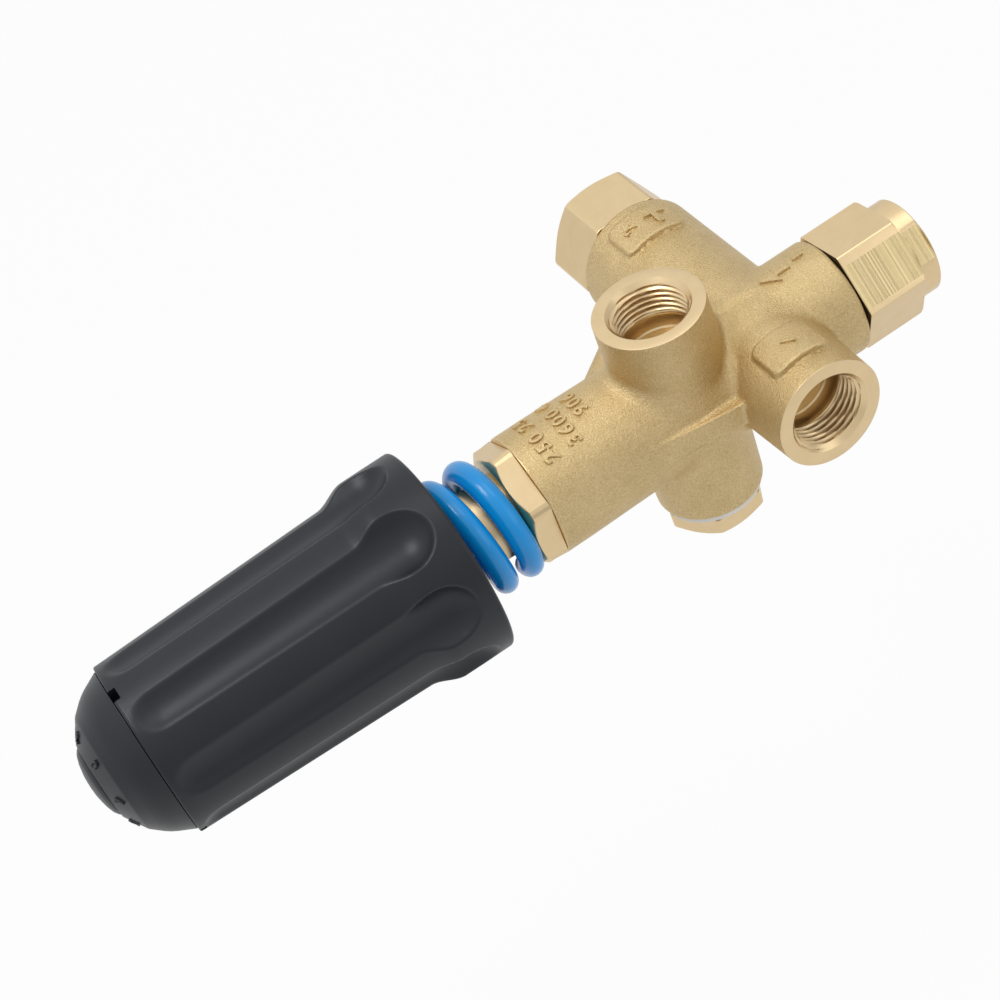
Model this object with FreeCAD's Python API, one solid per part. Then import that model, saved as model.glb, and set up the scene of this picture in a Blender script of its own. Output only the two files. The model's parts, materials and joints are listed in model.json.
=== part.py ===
import FreeCAD, Part
import math
import os

# Pressure washer unloader valve. All sizes are millimetres.
# +X runs from the knob to the inlet fitting, +Z leaves through the bypass
# port, -Y leaves through the second inlet and +Y through the outlet.
# Everything is drawn about the point where the main bore (X) crosses the
# bypass port (Z), then moved so that the origin is in the inlet's mouth.

os.makedirs("parts", exist_ok=True)

V = FreeCAD.Vector
X, Y, Z = V(1, 0, 0), V(0, 1, 0), V(0, 0, 1)

# Ports: four G 3/8 female threads, cut to the crest of the matching male one
PORT_R = 8.33                 # thread major radius
PORT_MOUTH_R = 8.75           # radius of the lead-in chamfer
PORT_DEPTH = 12.6             # thread and run-out, from the face
PORT_LEAD = PORT_MOUTH_R - PORT_R
INLET_END = 57.67             # face of the inlet fitting, on +X
DATUM_X = INLET_END - 0.47    # first thread of the inlet: the origin

# Screwed joints: M20 threads of the gland and of both fittings
GLAND_BORE_R = 10.0
SEAL_MOUTH_R = 11.45          # recess for an O-ring at each of them
SEAL_MOUTH_DEEP = 1.55
SEAL_R = 0.7                  # section radius of those O-rings

# Body, outside
BARREL_WALL = 3.4             # wall round the gland bore
BARREL_R = GLAND_BORE_R + BARREL_WALL
BARREL_DRAFT = 0.2            # the barrel narrows by this towards the ports
RUN_STEP = 0.55               # and by this in all towards the neck
RUN_R = BARREL_R - RUN_STEP
BARREL_END = 36.65            # barrel face, on -X
NECK_END = 38.25              # neck face, on +X
NECK_GAP = 0.6                # between the neck face and the fitting hexagon
BYPASS_R = 11.6               # boss of the bypass port
BYPASS_FACE = 24.3            # its face, on +Z
PLUG_BOSS_R = 11.7            # boss of the plugged port
PLUG_FACE = 24.6              # its face, on -Z
CROSS_X = 17.85               # where the two side bosses cross the bore
FRONT_R = 12.1                # boss of the second inlet
FRONT_FACE = 27.2             # its face, on -Y
REAR_R = 13.7                 # outlet boss
REAR_FACE = 42.0              # its face, on +Y
REAR_EDGE = 1.8               # radius of its cast edge
NECK_EDGE = 1.0               # radius of the neck's cast edge
BLEND_R = 2.4                 # cast radius where a boss meets the barrel
FRONT_BLEND_R = 1.45
GUSSET_H = 3.0                # half height of the front gusset
RIB_R = 4.1                   # cast rib around the sensing passage
PAD_RISE = 0.7                # label pads
REAR_PAD = (14.5, 28.5, 39.0)     # width, start and end along the boss
FRONT_PAD = (13.0, 15.0, 22.5)
ARROW_RISE = 0.45
NECK_ARROW = (23.5, 31.0, 2.0)    # tip, tail and half width
REAR_ARROW = (37.4, 30.6, 2.0)
REAR_ARROW_ASIDE = 3.4

# Body, inside
GLAND_BORE_END = -26.15       # where the gland bore steps down
CHAMBER_R = 9.0               # trapped-pressure chamber and inlet chamber
CHAMBER_END = -15.5           # where the piston bore starts
PISTON_R = 7.0                # piston bore
SEAT_X = 8.0                  # shoulder that carries the bypass seat
NECK_BORE_X = 29.25           # where the neck bore opens to the fitting thread
CROSS_HOLE_R = 4.5            # holes between the bypass ports and the bore
CHECK_HOLE_R = 5.0            # holes between the side bosses and the bore
CHECK_Y = 12.0                # shoulder that carries the check seat
CHECK_BORE_R = 8.6            # bore of the check valve
FITTING_BORE_Y = 33.0         # where the outlet boss opens to the fitting thread
SENSE_R = 1.5                 # drilled sensing passage
SENSE_FROM = V(-18.5, 7.5, 0)
SENSE_THROUGH = V(9.25, 29.5, 0)

# Gland, fittings and plug
GLAND_FLATS = 24.0
GLAND_PHASE = 33.0
SLEEVE_R = 8.2                # sleeve inside the spring
SLEEVE_END = -50.0
SEAL_ROOM_R = 6.5             # room of the rod seal
SEAL_ROOM_L = 4.3
INLET_FLATS = 23.0
INLET_PHASE = 52.2
INLET_HEX_END = 52.8
COLLAR_RING_R = 10.7          # round collar past the inlet hexagon
COLLAR_FLAT = 9.9             # its two flats, from the axis
INLET_HOLE_R = 6.0
OUTLET_FLATS = 24.0
OUTLET_PHASE = 0.0
OUTLET_END = 56.0
OUTLET_HOLE_R = 5.0
PLUG_FLATS = 19.0
PLUG_PHASE = 4.0
PLUG_HEAD_H = 4.7
PLUG_WASHER_R = 10.7
PLUG_WASHER_T = 1.6

# Rod and spring
ROD_R = 4.0
ROD_END = -120.5              # threaded end inside the knob
THREAD_START = -84.0
STEP_R = 3.0                  # rod inside piston and bypass chamber
TIP_R = 2.5                   # rod through the poppet
PISTON_X = (-14.0, -6.8)
PISTON_GROOVE_X = 2.2         # groove of the piston's rings, from its face
PISTON_GROOVE_R = 5.3
PISTON_SEAL_R = 0.8           # section radius of the O-ring in it
BACKUP_T = 1.2                # backing ring beside that O-ring
ROD_SEAL_L = 2.7
RETAINER_T = 0.8              # washer that keeps the rod seal in
POPPET_X = 10.6               # shoulder behind the poppet
SEAT_T = 5.0                  # bypass seat
SEAT_HOLE_R = 4.6
POPPET_BACK = 4.4             # back of the poppet, from the seat's face
POPPET_NUT_FLATS = 8.0
POPPET_NUT_H = 3.4
CHECK_SEAT_T = 4.6
CHECK_SEAT_HOLE_R = 4.8
CHECK_POPPET_L = 12.5         # from the check seat's shoulder
CHECK_COIL_R = 6.2
CHECK_WIRE_R = 0.55
CHECK_TURNS = 5.5
TIP_END = 21.2
SPRING_R = 11.3               # mean radius
WIRE_R = 2.2
SPRING_X = (-92.0, -41.9)
SPRING_TURNS = 6.76
SPRING_DEAD = 0.75            # closed part of a turn at each end
SPRING_PHASE = 331.0
PLATE_R = 13.4                # spring plate
PLATE_T = 3.5
THRUST_R = 9.0                # washer between the plate and the knob
THRUST_T = 1.0
INSERT_L = 14.4               # brass insert of the knob
HUB_R = 8.0
NUT_FLATS = 13.0              # lock nut and stop nut on the rod
NUT_H = 3.5

# Knob
KNOB_RIM_X = -56.0
KNOB_SEAM_X = -125.6
COLLAR_R = 22.5               # raised collar next to the rim
COLLAR_FOOT_X = -71.4         # where the collar's step meets the grip
RIM_EDGE = 1.1
GRIP_R = (20.6, 18.8)         # grip radius behind the collar and at the seam
CAVITY_R = 16.2
SCOOP_R = 8.0                 # ball-ended flute cutter
SCOOP_X = (-66.0, -122.2)     # centres of the balls at both ends of a flute
SCOOP_OUT = (6.6, 7.85)       # how far they lie outside the grip radius there
FLUTES = 8
FLUTE_PHASE = 30.0            # degrees from +Y towards +Z
SNAP_SLOTS = 3
SNAP_PHASE = 97.0
SNAP_SLOT = (1.5, 3.0)        # along the axis and around it
CAP_WALL = 3.3
CAP_SHOULDER_L = 8.7          # from the seam to the flat ring
RING_X = KNOB_SEAM_X - CAP_SHOULDER_L
RING_R = (10.4, 14.3)
BUTTON_R = 9.4                # domed centre of the cap
BUTTON_RISE = 1.8
CAP_TIP_X = RING_X - BUTTON_RISE - 0.9
GROOVE_DEEP = 0.5

GAP = 0.05                    # running clearance, and air at turned faces


def lathe(points, axis=X, origin=V(0, 0, 0)):
    """Solid of revolution from (distance along axis, radius) points.

    A point of four numbers ends an arc; the first two lie half way along it.
    """
    points = list(points)
    if points[0][1] > 1e-9:
        points.insert(0, (points[0][0], 0))
    if points[-1][1] > 1e-9:
        points.append((points[-1][0], 0))
    points.append(points[0])
    edges, here = [], V(*points[0], 0)
    for point in points[1:]:
        there = V(*point[-2:], 0)
        if len(point) == 4:
            edges.append(Part.Arc(here, V(*point[:2], 0), there).toShape())
        elif here.distanceToPoint(there) > 1e-9:
            edges.append(Part.makeLine(here, there))
        here = there
    solid = Part.Face(Part.Wire(edges)).revolve(V(0, 0, 0), X, 360)
    solid.Placement = FreeCAD.Placement(origin, FreeCAD.Rotation(X, axis))
    return solid


def edge_arc(at, r, size, sense=1):
    """Rounded outer corner of a lathe profile that ends at a face."""
    part = size * (1 - math.sqrt(0.5))
    return [(at - sense * size, r),
            (at - sense * part, r - part, at, r - size)]


def rod(radius, start, end, axis=X, origin=V(0, 0, 0)):
    """Plain cylinder between two places on an axis."""
    return Part.makeCylinder(radius, end - start, origin + axis * start, axis)


def pipe(outer, inner, start, end, axis=X, origin=V(0, 0, 0)):
    return rod(outer, start, end, axis, origin).cut(
        rod(inner, start - 1, end + 1, axis, origin))


def ring(centre_r, section_r, at, axis=X, origin=V(0, 0, 0)):
    """O-ring around an axis."""
    return Part.makeTorus(centre_r, section_r, origin + axis * at, axis)


def hexagon(flats, start, end, phase, axis=X, origin=V(0, 0, 0), trim=0.985,
            both=False):
    """Hexagon bar with turned corners; the far end is chamfered."""
    corner = flats / math.sqrt(3)
    points = [V(0, corner * math.cos(math.radians(phase + 60 * k)),
                corner * math.sin(math.radians(phase + 60 * k)))
              for k in range(7)]
    bar = Part.Face(Part.makePolygon(points)).extrude(V(end - start, 0, 0))
    bar.translate(V(start, 0, 0))
    bar.Placement = FreeCAD.Placement(
        origin, FreeCAD.Rotation(X, axis)).multiply(bar.Placement)
    turned = corner * trim
    slope = (turned - flats / 2) * 0.62
    outline = [(start, flats / 2 if both else turned)]
    if both:
        outline.append((start + slope, turned))
    outline += [(end - slope, turned), (end, flats / 2)]
    return bar.common(lathe(outline, axis, origin))


def port(face, axis, origin=V(0, 0, 0), depth=PORT_DEPTH, through=0.0,
         through_r=CROSS_HOLE_R):
    """Tapped port to cut: mouth chamfer, thread bore, flat floor, cross hole."""
    tool = lathe([(face - depth, PORT_R), (face - PORT_LEAD, PORT_R),
                  (face + 1.0, PORT_MOUTH_R + 1.0)], axis, origin)
    return tool.fuse(rod(through_r, through, face - depth + 0.5, axis, origin))


def blend(run, branch, radius):
    """Fuse a boss to the barrel and round the curve where they meet."""
    joined = run.fuse(branch).removeSplitter()
    seams = [e for e in joined.Edges
             if e.Curve.TypeId not in ("Part::GeomLine", "Part::GeomCircle")]
    return joined.makeFillet(radius, seams)


def prism(points, half_height):
    """Flat web in the plane of the side bosses."""
    outline = [V(x, y, -half_height) for x, y in points]
    outline.append(outline[0])
    return Part.Face(Part.makePolygon(outline)).extrude(
        V(0, 0, 2 * half_height))


def raised_pad(boss_r, rise, width, start, end, axis, origin, up=Z):
    """Raised label pad that follows a round boss."""
    across = axis.cross(up)
    shell = rod(boss_r + rise, start, end, axis, origin)
    corner = origin + axis * start - across * (width / 2) + up * 2.0
    block = Part.makeBox(width, end - start, boss_r + rise + 2.0)
    block.Placement = FreeCAD.Placement(corner, FreeCAD.Rotation(
        across, axis, up, "ZXY"))
    return shell.common(block)


def raised_arrow(boss_r, rise, size, axis, origin, aside=0.0):
    """Raised arrow on top of a round boss, pointing from tail to tip."""
    tip, tail, half_width = size
    side = axis.cross(Z)
    sense = 1 if tip > tail else -1
    neck = tip - sense * 1.7 * half_width
    stem = half_width * 0.36
    shape = [(tail, -stem), (neck, -stem), (neck, -half_width), (tip, 0),
             (neck, half_width), (neck, stem), (tail, stem)]
    outline = [origin + axis * a + side * (b + aside) for a, b in shape]
    outline.append(outline[0])
    stamp = Part.Face(Part.makePolygon(outline)).extrude(Z * (boss_r + 4))
    low, high = min(tip, tail), max(tip, tail)
    return stamp.common(rod(boss_r + rise, low - 1, high + 1, axis, origin))


def coil(mean_r, wire_r, start, end, turns, dead=1.0, axis=X,
         origin=V(0, 0, 0), phase=0.0, steps=26):
    """Compression spring with closed ends ground flat at start and end."""
    low, high = start + wire_r * 0.55, end - wire_r * 0.55
    pitch_dead = 2.02 * wire_r
    span = high - low
    active = turns - 2 * dead
    pitch = (span - 2 * dead * pitch_dead) / active

    def place(t):
        if t < dead:
            return low + pitch_dead * t
        if t > turns - dead:
            return high - pitch_dead * (turns - t)
        return low + pitch_dead * dead + pitch * (t - dead)

    count = int(turns * steps)
    soft = 0.3
    points = []
    for k in range(count + 1):
        t = turns * k / count
        along = sum(place(min(max(t + d * soft, 0.0), turns))
                    for d in (-1, -0.5, 0, 0.5, 1)) / 5
        angle = 2 * math.pi * t + math.radians(phase)
        points.append(V(along, mean_r * math.cos(angle),
                        mean_r * math.sin(angle)))
    curve = Part.BSplineCurve()
    curve.interpolate(points)
    spine = Part.Wire([curve.toShape()])
    tangent = curve.tangent(curve.FirstParameter)[0]
    section = Part.Wire([Part.makeCircle(wire_r, points[0], tangent)])
    wire = spine.makePipeShell([section], True, True)
    reach = mean_r + 2 * wire_r
    ground = Part.makeCylinder(reach, end - start, V(start, 0, 0), X)
    spring = wire.common(ground)
    spring.Placement = FreeCAD.Placement(origin, FreeCAD.Rotation(X, axis))
    return spring


side = V(CROSS_X, 0, 0)


def make_body():
    """Forged body with all bores."""
    barrel = lathe([(-BARREL_END, BARREL_R - 0.4),
                    (-BARREL_END + 0.4, BARREL_R),
                    (-10.0, BARREL_R - BARREL_DRAFT), (12.0, RUN_R)]
                   + edge_arc(NECK_END, RUN_R, NECK_EDGE))
    body = blend(barrel, rod(BYPASS_R, 0, BYPASS_FACE, Z), BLEND_R)
    body = body.fuse(blend(barrel, rod(PLUG_BOSS_R, -PLUG_FACE, 0, Z),
                           BLEND_R))
    body = body.fuse(blend(barrel, rod(FRONT_R, -FRONT_FACE, 0, Y, side),
                           FRONT_BLEND_R))
    body = body.fuse(lathe([(-2, REAR_R)]
                           + edge_arc(REAR_FACE, REAR_R, REAR_EDGE), Y, side))
    front_web = prism([(-15, 0), (-14, -BARREL_R + 2.5),
                       (-4, -BARREL_R - 0.6),
                       (CROSS_X - FRONT_R, -BARREL_R - 3.4),
                       (CROSS_X - FRONT_R + 2, -BARREL_R - 4.4),
                       (CROSS_X, -BARREL_R), (CROSS_X, 0)], GUSSET_H)
    rear_web = prism([(-20, 0), (-19.5, BARREL_R - 3.5), (-13, BARREL_R + 3.6),
                      (CROSS_X - REAR_R, BARREL_R + 13.6),
                      (CROSS_X, BARREL_R + 13.6), (CROSS_X, 0)],
                     RIB_R * 0.72)
    body = body.fuse([front_web, rear_web])
    aim = SENSE_THROUGH - SENSE_FROM
    aim.normalize()
    rib_length = (SENSE_THROUGH - SENSE_FROM).Length + 2
    rib = Part.makeCylinder(RIB_R, rib_length, SENSE_FROM, aim)
    body = body.fuse(rib.fuse(Part.makeSphere(RIB_R, SENSE_FROM)))
    body = body.fuse(raised_pad(REAR_R, PAD_RISE, *REAR_PAD, Y, side))
    body = body.fuse(raised_pad(FRONT_R, PAD_RISE, *FRONT_PAD, -Y, side))
    body = body.fuse(raised_arrow(RUN_R, ARROW_RISE, NECK_ARROW, X,
                                  V(0, 0, 0)))
    body = body.fuse(raised_arrow(REAR_R + PAD_RISE, ARROW_RISE, REAR_ARROW,
                                  Y, side, REAR_ARROW_ASIDE))
    body = body.removeSplitter()

    main_bore = lathe([
        (-BARREL_END - 1, SEAL_MOUTH_R),
        (-BARREL_END + SEAL_MOUTH_DEEP, SEAL_MOUTH_R),
        (-BARREL_END + SEAL_MOUTH_DEEP, GLAND_BORE_R),
        (GLAND_BORE_END, GLAND_BORE_R), (GLAND_BORE_END, CHAMBER_R),
        (CHAMBER_END, CHAMBER_R), (CHAMBER_END + 0.8, PISTON_R),
        (SEAT_X, PISTON_R), (SEAT_X, CHAMBER_R), (NECK_BORE_X, CHAMBER_R),
        (NECK_BORE_X, GLAND_BORE_R),
        (NECK_END - SEAL_MOUTH_DEEP + NECK_GAP, GLAND_BORE_R),
        (NECK_END - SEAL_MOUTH_DEEP + NECK_GAP, SEAL_MOUTH_R),
        (NECK_END + 1, SEAL_MOUTH_R)])
    outlet_bore = lathe([
        (0, CHECK_HOLE_R), (CHECK_Y, CHECK_HOLE_R), (CHECK_Y, CHECK_BORE_R),
        (FITTING_BORE_Y, CHECK_BORE_R), (FITTING_BORE_Y, GLAND_BORE_R),
        (REAR_FACE - SEAL_MOUTH_DEEP, GLAND_BORE_R),
        (REAR_FACE - SEAL_MOUTH_DEEP, SEAL_MOUTH_R),
        (REAR_FACE + 1, SEAL_MOUTH_R)], Y, side)
    passage = Part.makeCylinder(SENSE_R, rib_length + 2.0, SENSE_FROM, aim)
    return body.cut([
        main_bore, outlet_bore, passage,
        port(BYPASS_FACE, Z), port(PLUG_FACE, -Z),
        port(FRONT_FACE, -Y, side, through_r=CHECK_HOLE_R)])


def screwed_fitting(flats, phase, face, spigot, axis, origin, hex_end,
                    collar_end, bore_r):
    """Fitting with an M20 spigot, a hexagon and a G 3/8 female thread."""
    head = face + (GAP if collar_end is None else NECK_GAP)
    solid = lathe([(spigot, GLAND_BORE_R - GAP - 0.6),
                   (spigot + 0.6, GLAND_BORE_R - GAP),
                   (face - 0.9, GLAND_BORE_R - GAP),
                   (face - 0.9, GLAND_BORE_R - GAP),
                   (head + 0.2, GLAND_BORE_R - GAP)], axis, origin)
    solid = solid.fuse(hexagon(flats, head, hex_end, phase, axis, origin))
    end = hex_end
    if collar_end is not None:
        end = collar_end
        collar = lathe([(hex_end - 1, COLLAR_RING_R),
                        (end - 0.4, COLLAR_RING_R),
                        (end, COLLAR_RING_R - 0.4)], axis, origin)
        for turn in (phase, phase + 180):
            flat = Part.makeBox(3, 9, 4)
            flat.translate(V(end - 3.6, -4.5, COLLAR_FLAT))
            flat.rotate(V(0, 0, 0), X, turn)
            collar = collar.cut(flat)
        solid = solid.fuse(collar)
    thread = lathe([(end - PORT_DEPTH + 0.6, PORT_R),
                    (end - PORT_LEAD, PORT_R),
                    (end + 1, PORT_MOUTH_R + 1)], axis, origin)
    return solid.cut([thread, rod(bore_r, spigot - 1, end, axis, origin)])


GLAND_FACE = -BARREL_END - GAP
GLAND_HEAD = SPRING_X[1]
GLAND_TIP = GLAND_BORE_END - RETAINER_T - 2 * GAP


def make_gland():
    """Guide gland: hexagon head, M20 spigot, sleeve inside the spring."""
    spigot = lathe([(GLAND_FACE, GLAND_BORE_R - GAP),
                    (GLAND_TIP - 0.6, GLAND_BORE_R - GAP),
                    (GLAND_TIP, GLAND_BORE_R - GAP - 0.6)])
    head = hexagon(GLAND_FLATS, -GLAND_FACE, -GLAND_HEAD, GLAND_PHASE, -X)
    sleeve = lathe([(SLEEVE_END, SLEEVE_R - 0.8), (SLEEVE_END + 0.8, SLEEVE_R),
                    (GLAND_HEAD + 0.5, SLEEVE_R)])
    seal_room = rod(SEAL_ROOM_R, GLAND_TIP - SEAL_ROOM_L, GLAND_TIP + 1)
    return spigot.fuse([head, sleeve]).cut([
        rod(ROD_R + GAP, SLEEVE_END - 1, GLAND_TIP + 1), seal_room])


def make_piston():
    start, end = PISTON_X
    body = lathe([(start, 6.3), (start + 0.5, PISTON_R - GAP),
                  (end - 0.5, PISTON_R - GAP), (end, 6.3)])
    groove = pipe(PISTON_R + 1, PISTON_GROOVE_R, start + PISTON_GROOVE_X,
                  end - 1.9)
    return body.cut([groove, rod(STEP_R, start - 1, end + 1)])


def make_stem():
    start, end = PISTON_X
    return lathe([(ROD_END, 3.3), (ROD_END + 0.65, 3.95),
                  (THREAD_START, 3.95), (THREAD_START, ROD_R),
                  (start, ROD_R), (start, STEP_R), (POPPET_X, STEP_R),
                  (POPPET_X, TIP_R), (TIP_END - 0.5, TIP_R),
                  (TIP_END, TIP_R - 0.5)])


def make_poppet():
    seat_end = SEAT_X + SEAT_T
    touch = SEAT_HOLE_R
    nose = STEP_R + 0.4
    back = seat_end + POPPET_BACK - 2.0
    cone = lathe([(POPPET_X, nose),
                  (seat_end + GAP * 0.5 - (touch - nose), nose),
                  (back + GAP * 0.5, touch + POPPET_BACK - 2.0),
                  (back + 1.6, 7.0), (back + 2.0, 6.6)])
    return cone.cut(rod(TIP_R + 0.02, POPPET_X - 1, back + 3))


def make_bypass_seat():
    start, end = SEAT_X, SEAT_X + SEAT_T
    body = lathe([(start, CHAMBER_R - GAP - 0.3),
                  (start + 0.3, CHAMBER_R - GAP),
                  (end, CHAMBER_R - GAP)])
    groove = pipe(CHAMBER_R + 1, CHAMBER_R - 1.45, start + 1.4, start + 3.5)
    return body.cut([groove, rod(SEAT_HOLE_R, start - 1, end + 1)])


def make_check_seat():
    start, end = CHECK_Y, CHECK_Y + CHECK_SEAT_T
    body = lathe([(start, CHECK_BORE_R - GAP), (end, CHECK_BORE_R - GAP)],
                 Y, side)
    groove = pipe(CHECK_BORE_R + 1, CHECK_BORE_R - 1.45, start + 1.2,
                  start + 3.3, Y, side)
    return body.cut([groove, rod(CHECK_SEAT_HOLE_R, start - 1, end + 1, Y,
                                 side)])


CHECK_TOP = CHECK_Y + CHECK_POPPET_L


def make_check_poppet():
    """Winged check poppet: nose in the seat, three guide fins behind it."""
    seat_end = CHECK_Y + CHECK_SEAT_T
    head = lathe([(seat_end - 1.5, 3.35), (seat_end - 1.1, 3.75),
                  (seat_end + 0.1, 4.85), (seat_end + 2.0, 6.8),
                  (seat_end + 2.6, 6.8)], Y, side)
    body = head.fuse(rod(2.6, seat_end + 2.0, CHECK_TOP, Y, side))
    for k in range(3):
        fin = Part.makeBox(CHECK_BORE_R - GAP, CHECK_TOP - seat_end - 2.0, 1.8)
        fin.translate(V(0, seat_end + 2.0, -0.9))
        fin.rotate(V(0, 0, 0), Y, 30 + 120 * k)
        fin.translate(side)
        body = body.fuse(fin)
    return body.common(rod(CHECK_BORE_R - GAP, 0, CHECK_TOP, Y, side))


PLUG_HEAD = PLUG_FACE + PLUG_WASHER_T + 2 * GAP
PLUG_END = PLUG_HEAD + PLUG_HEAD_H


def make_plug():
    thread = lathe([(PLUG_FACE - PORT_DEPTH + 1.4, PORT_R - GAP - 0.8),
                    (PLUG_FACE - PORT_DEPTH + 2.2, PORT_R - GAP),
                    (PLUG_FACE - 0.6, PORT_R - GAP),
                    (PLUG_HEAD + 0.3, PORT_R - GAP)], -Z)
    head = hexagon(PLUG_FLATS, PLUG_HEAD, PLUG_END, PLUG_PHASE, -Z)
    return thread.fuse(head)


PLATE_X = SPRING_X[0]
WASHER_X = PLATE_X - PLATE_T - GAP
INSERT_X = WASHER_X - THRUST_T - GAP
INSERT_END = INSERT_X - INSERT_L


def make_spring_plate():
    """Plate that carries the spring, with a spigot inside it."""
    inner = SPRING_R - WIRE_R - 0.3
    return lathe([(PLATE_X - PLATE_T, PLATE_R - 0.2), (PLATE_X - 0.4, PLATE_R),
                  (PLATE_X, PLATE_R - 0.4), (PLATE_X, inner),
                  (PLATE_X + 3.4, inner - 0.4), (PLATE_X + 3.4, 0)]).cut(
        rod(ROD_R + 0.07, PLATE_X - PLATE_T - 1, PLATE_X + 5))


def insert_outside():
    """Flanged and grooved outside that the knob is moulded around."""
    return lathe([(INSERT_END, HUB_R + 1.6), (INSERT_END + 2.4, HUB_R + 1.6),
                  (INSERT_END + 2.4, HUB_R), (INSERT_X - 4.5, HUB_R),
                  (INSERT_X - 4.5, HUB_R - 1.0), (INSERT_X - 2.2, HUB_R - 1.0),
                  (INSERT_X - 2.2, HUB_R), (INSERT_X, HUB_R)])


def make_knob_insert():
    """Brass insert moulded into the knob, threaded on the rod."""
    return insert_outside().cut(rod(ROD_R, INSERT_END - 1, INSERT_X + 1))


def make_knob():
    """Fluted knob: collar, tapered grip, scooped flutes, hub, snap slots."""
    step = COLLAR_R - GRIP_R[0]
    outer = lathe(
        [(KNOB_SEAM_X, GRIP_R[1] - 0.4), (KNOB_SEAM_X + 0.4, GRIP_R[1]),
         (COLLAR_FOOT_X, GRIP_R[0]),
         (COLLAR_FOOT_X + 1.1, GRIP_R[0] + step * 0.22,
          COLLAR_FOOT_X + 1.9, GRIP_R[0] + step * 0.55),
         (COLLAR_FOOT_X + 2.7, COLLAR_R - step * 0.12,
          COLLAR_FOOT_X + 4.0, COLLAR_R)]
        + edge_arc(KNOB_RIM_X, COLLAR_R, RIM_EDGE))
    cavity = lathe([(INSERT_X - 3.0, CAVITY_R - 0.9),
                    (INSERT_X - 2.1, CAVITY_R),
                    (KNOB_RIM_X - 10.0, CAVITY_R + 0.3),
                    (KNOB_RIM_X - 1.6, COLLAR_R - 2.6),
                    (KNOB_RIM_X + 1, COLLAR_R - 2.4)])
    pocket = rod(GRIP_R[1] - CAP_WALL + 0.1, KNOB_SEAM_X - 1, INSERT_END)
    knob = outer.cut([cavity, pocket, insert_outside()])
    start = V(SCOOP_X[0], GRIP_R[0] + SCOOP_OUT[0], 0)
    finish = V(SCOOP_X[1], GRIP_R[1] + SCOOP_OUT[1], 0)
    way = finish - start
    cutter = Part.makeCylinder(SCOOP_R, way.Length, start, way).fuse(
        [Part.makeSphere(SCOOP_R, start), Part.makeSphere(SCOOP_R, finish)])
    flutes = []
    for k in range(FLUTES):
        tool = cutter.copy()
        tool.rotate(V(0, 0, 0), X, FLUTE_PHASE + 360.0 / FLUTES * k)
        flutes.append(tool)
    knob = knob.cut(flutes)
    for k in range(SNAP_SLOTS):
        slot = Part.makeBox(SNAP_SLOT[0] + 1, GRIP_R[1] + 4, SNAP_SLOT[1])
        slot.translate(V(KNOB_SEAM_X - 1, 0, -SNAP_SLOT[1] / 2))
        slot.rotate(V(0, 0, 0), X, SNAP_PHASE + 360.0 / SNAP_SLOTS * k)
        knob = knob.cut(slot)
    return knob


def make_end_cap():
    """Cap: rounded shoulder, flat ring, domed centre, skirt that snaps in."""
    seam = KNOB_SEAM_X - 0.12
    dome = (BUTTON_R ** 2 + BUTTON_RISE ** 2) / (2 * BUTTON_RISE)
    half = BUTTON_R / 2
    shoulder = RING_R[1] + 0.7
    outer = lathe([
        (CAP_TIP_X, 0.0),
        (CAP_TIP_X + dome - math.sqrt(dome ** 2 - half ** 2), half,
         CAP_TIP_X + BUTTON_RISE, BUTTON_R),
        (RING_X, BUTTON_R + 0.4), (RING_X + GROOVE_DEEP, BUTTON_R + 0.5),
        (RING_X + GROOVE_DEEP, RING_R[0] - 0.1), (RING_X, RING_R[0]),
        (RING_X, RING_R[1]), (RING_X + 0.2, RING_R[1] + 0.5,
                              RING_X + 0.7, shoulder),
        (RING_X + 3.75, (shoulder + GRIP_R[1]) / 2 + 0.42,
         seam - 0.4, GRIP_R[1]),
        (seam, GRIP_R[1] - 0.3)])
    skirt = rod(GRIP_R[1] - CAP_WALL, seam - 1, seam + 5.0)
    bead = ring(GRIP_R[1] - CAP_WALL - 0.25, 0.3, seam + 3.4)
    room = GRIP_R[1] - CAP_WALL - 1.8
    inside = lathe([(CAP_TIP_X + 2.4, 0.0), (CAP_TIP_X + 2.6, 5.0),
                    (RING_X + GROOVE_DEEP + 2.0, room - 2.4),
                    (RING_X + 5.0, room), (seam + 6, room)])
    return outer.fuse([skirt, bead]).cut(inside)


def nut(flats, height, start, bore):
    """Hexagon nut, chamfered on both sides."""
    return hexagon(flats, start, start + height, 12.0, both=True).cut(
        rod(bore, start - 1, start + height + 1))


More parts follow.
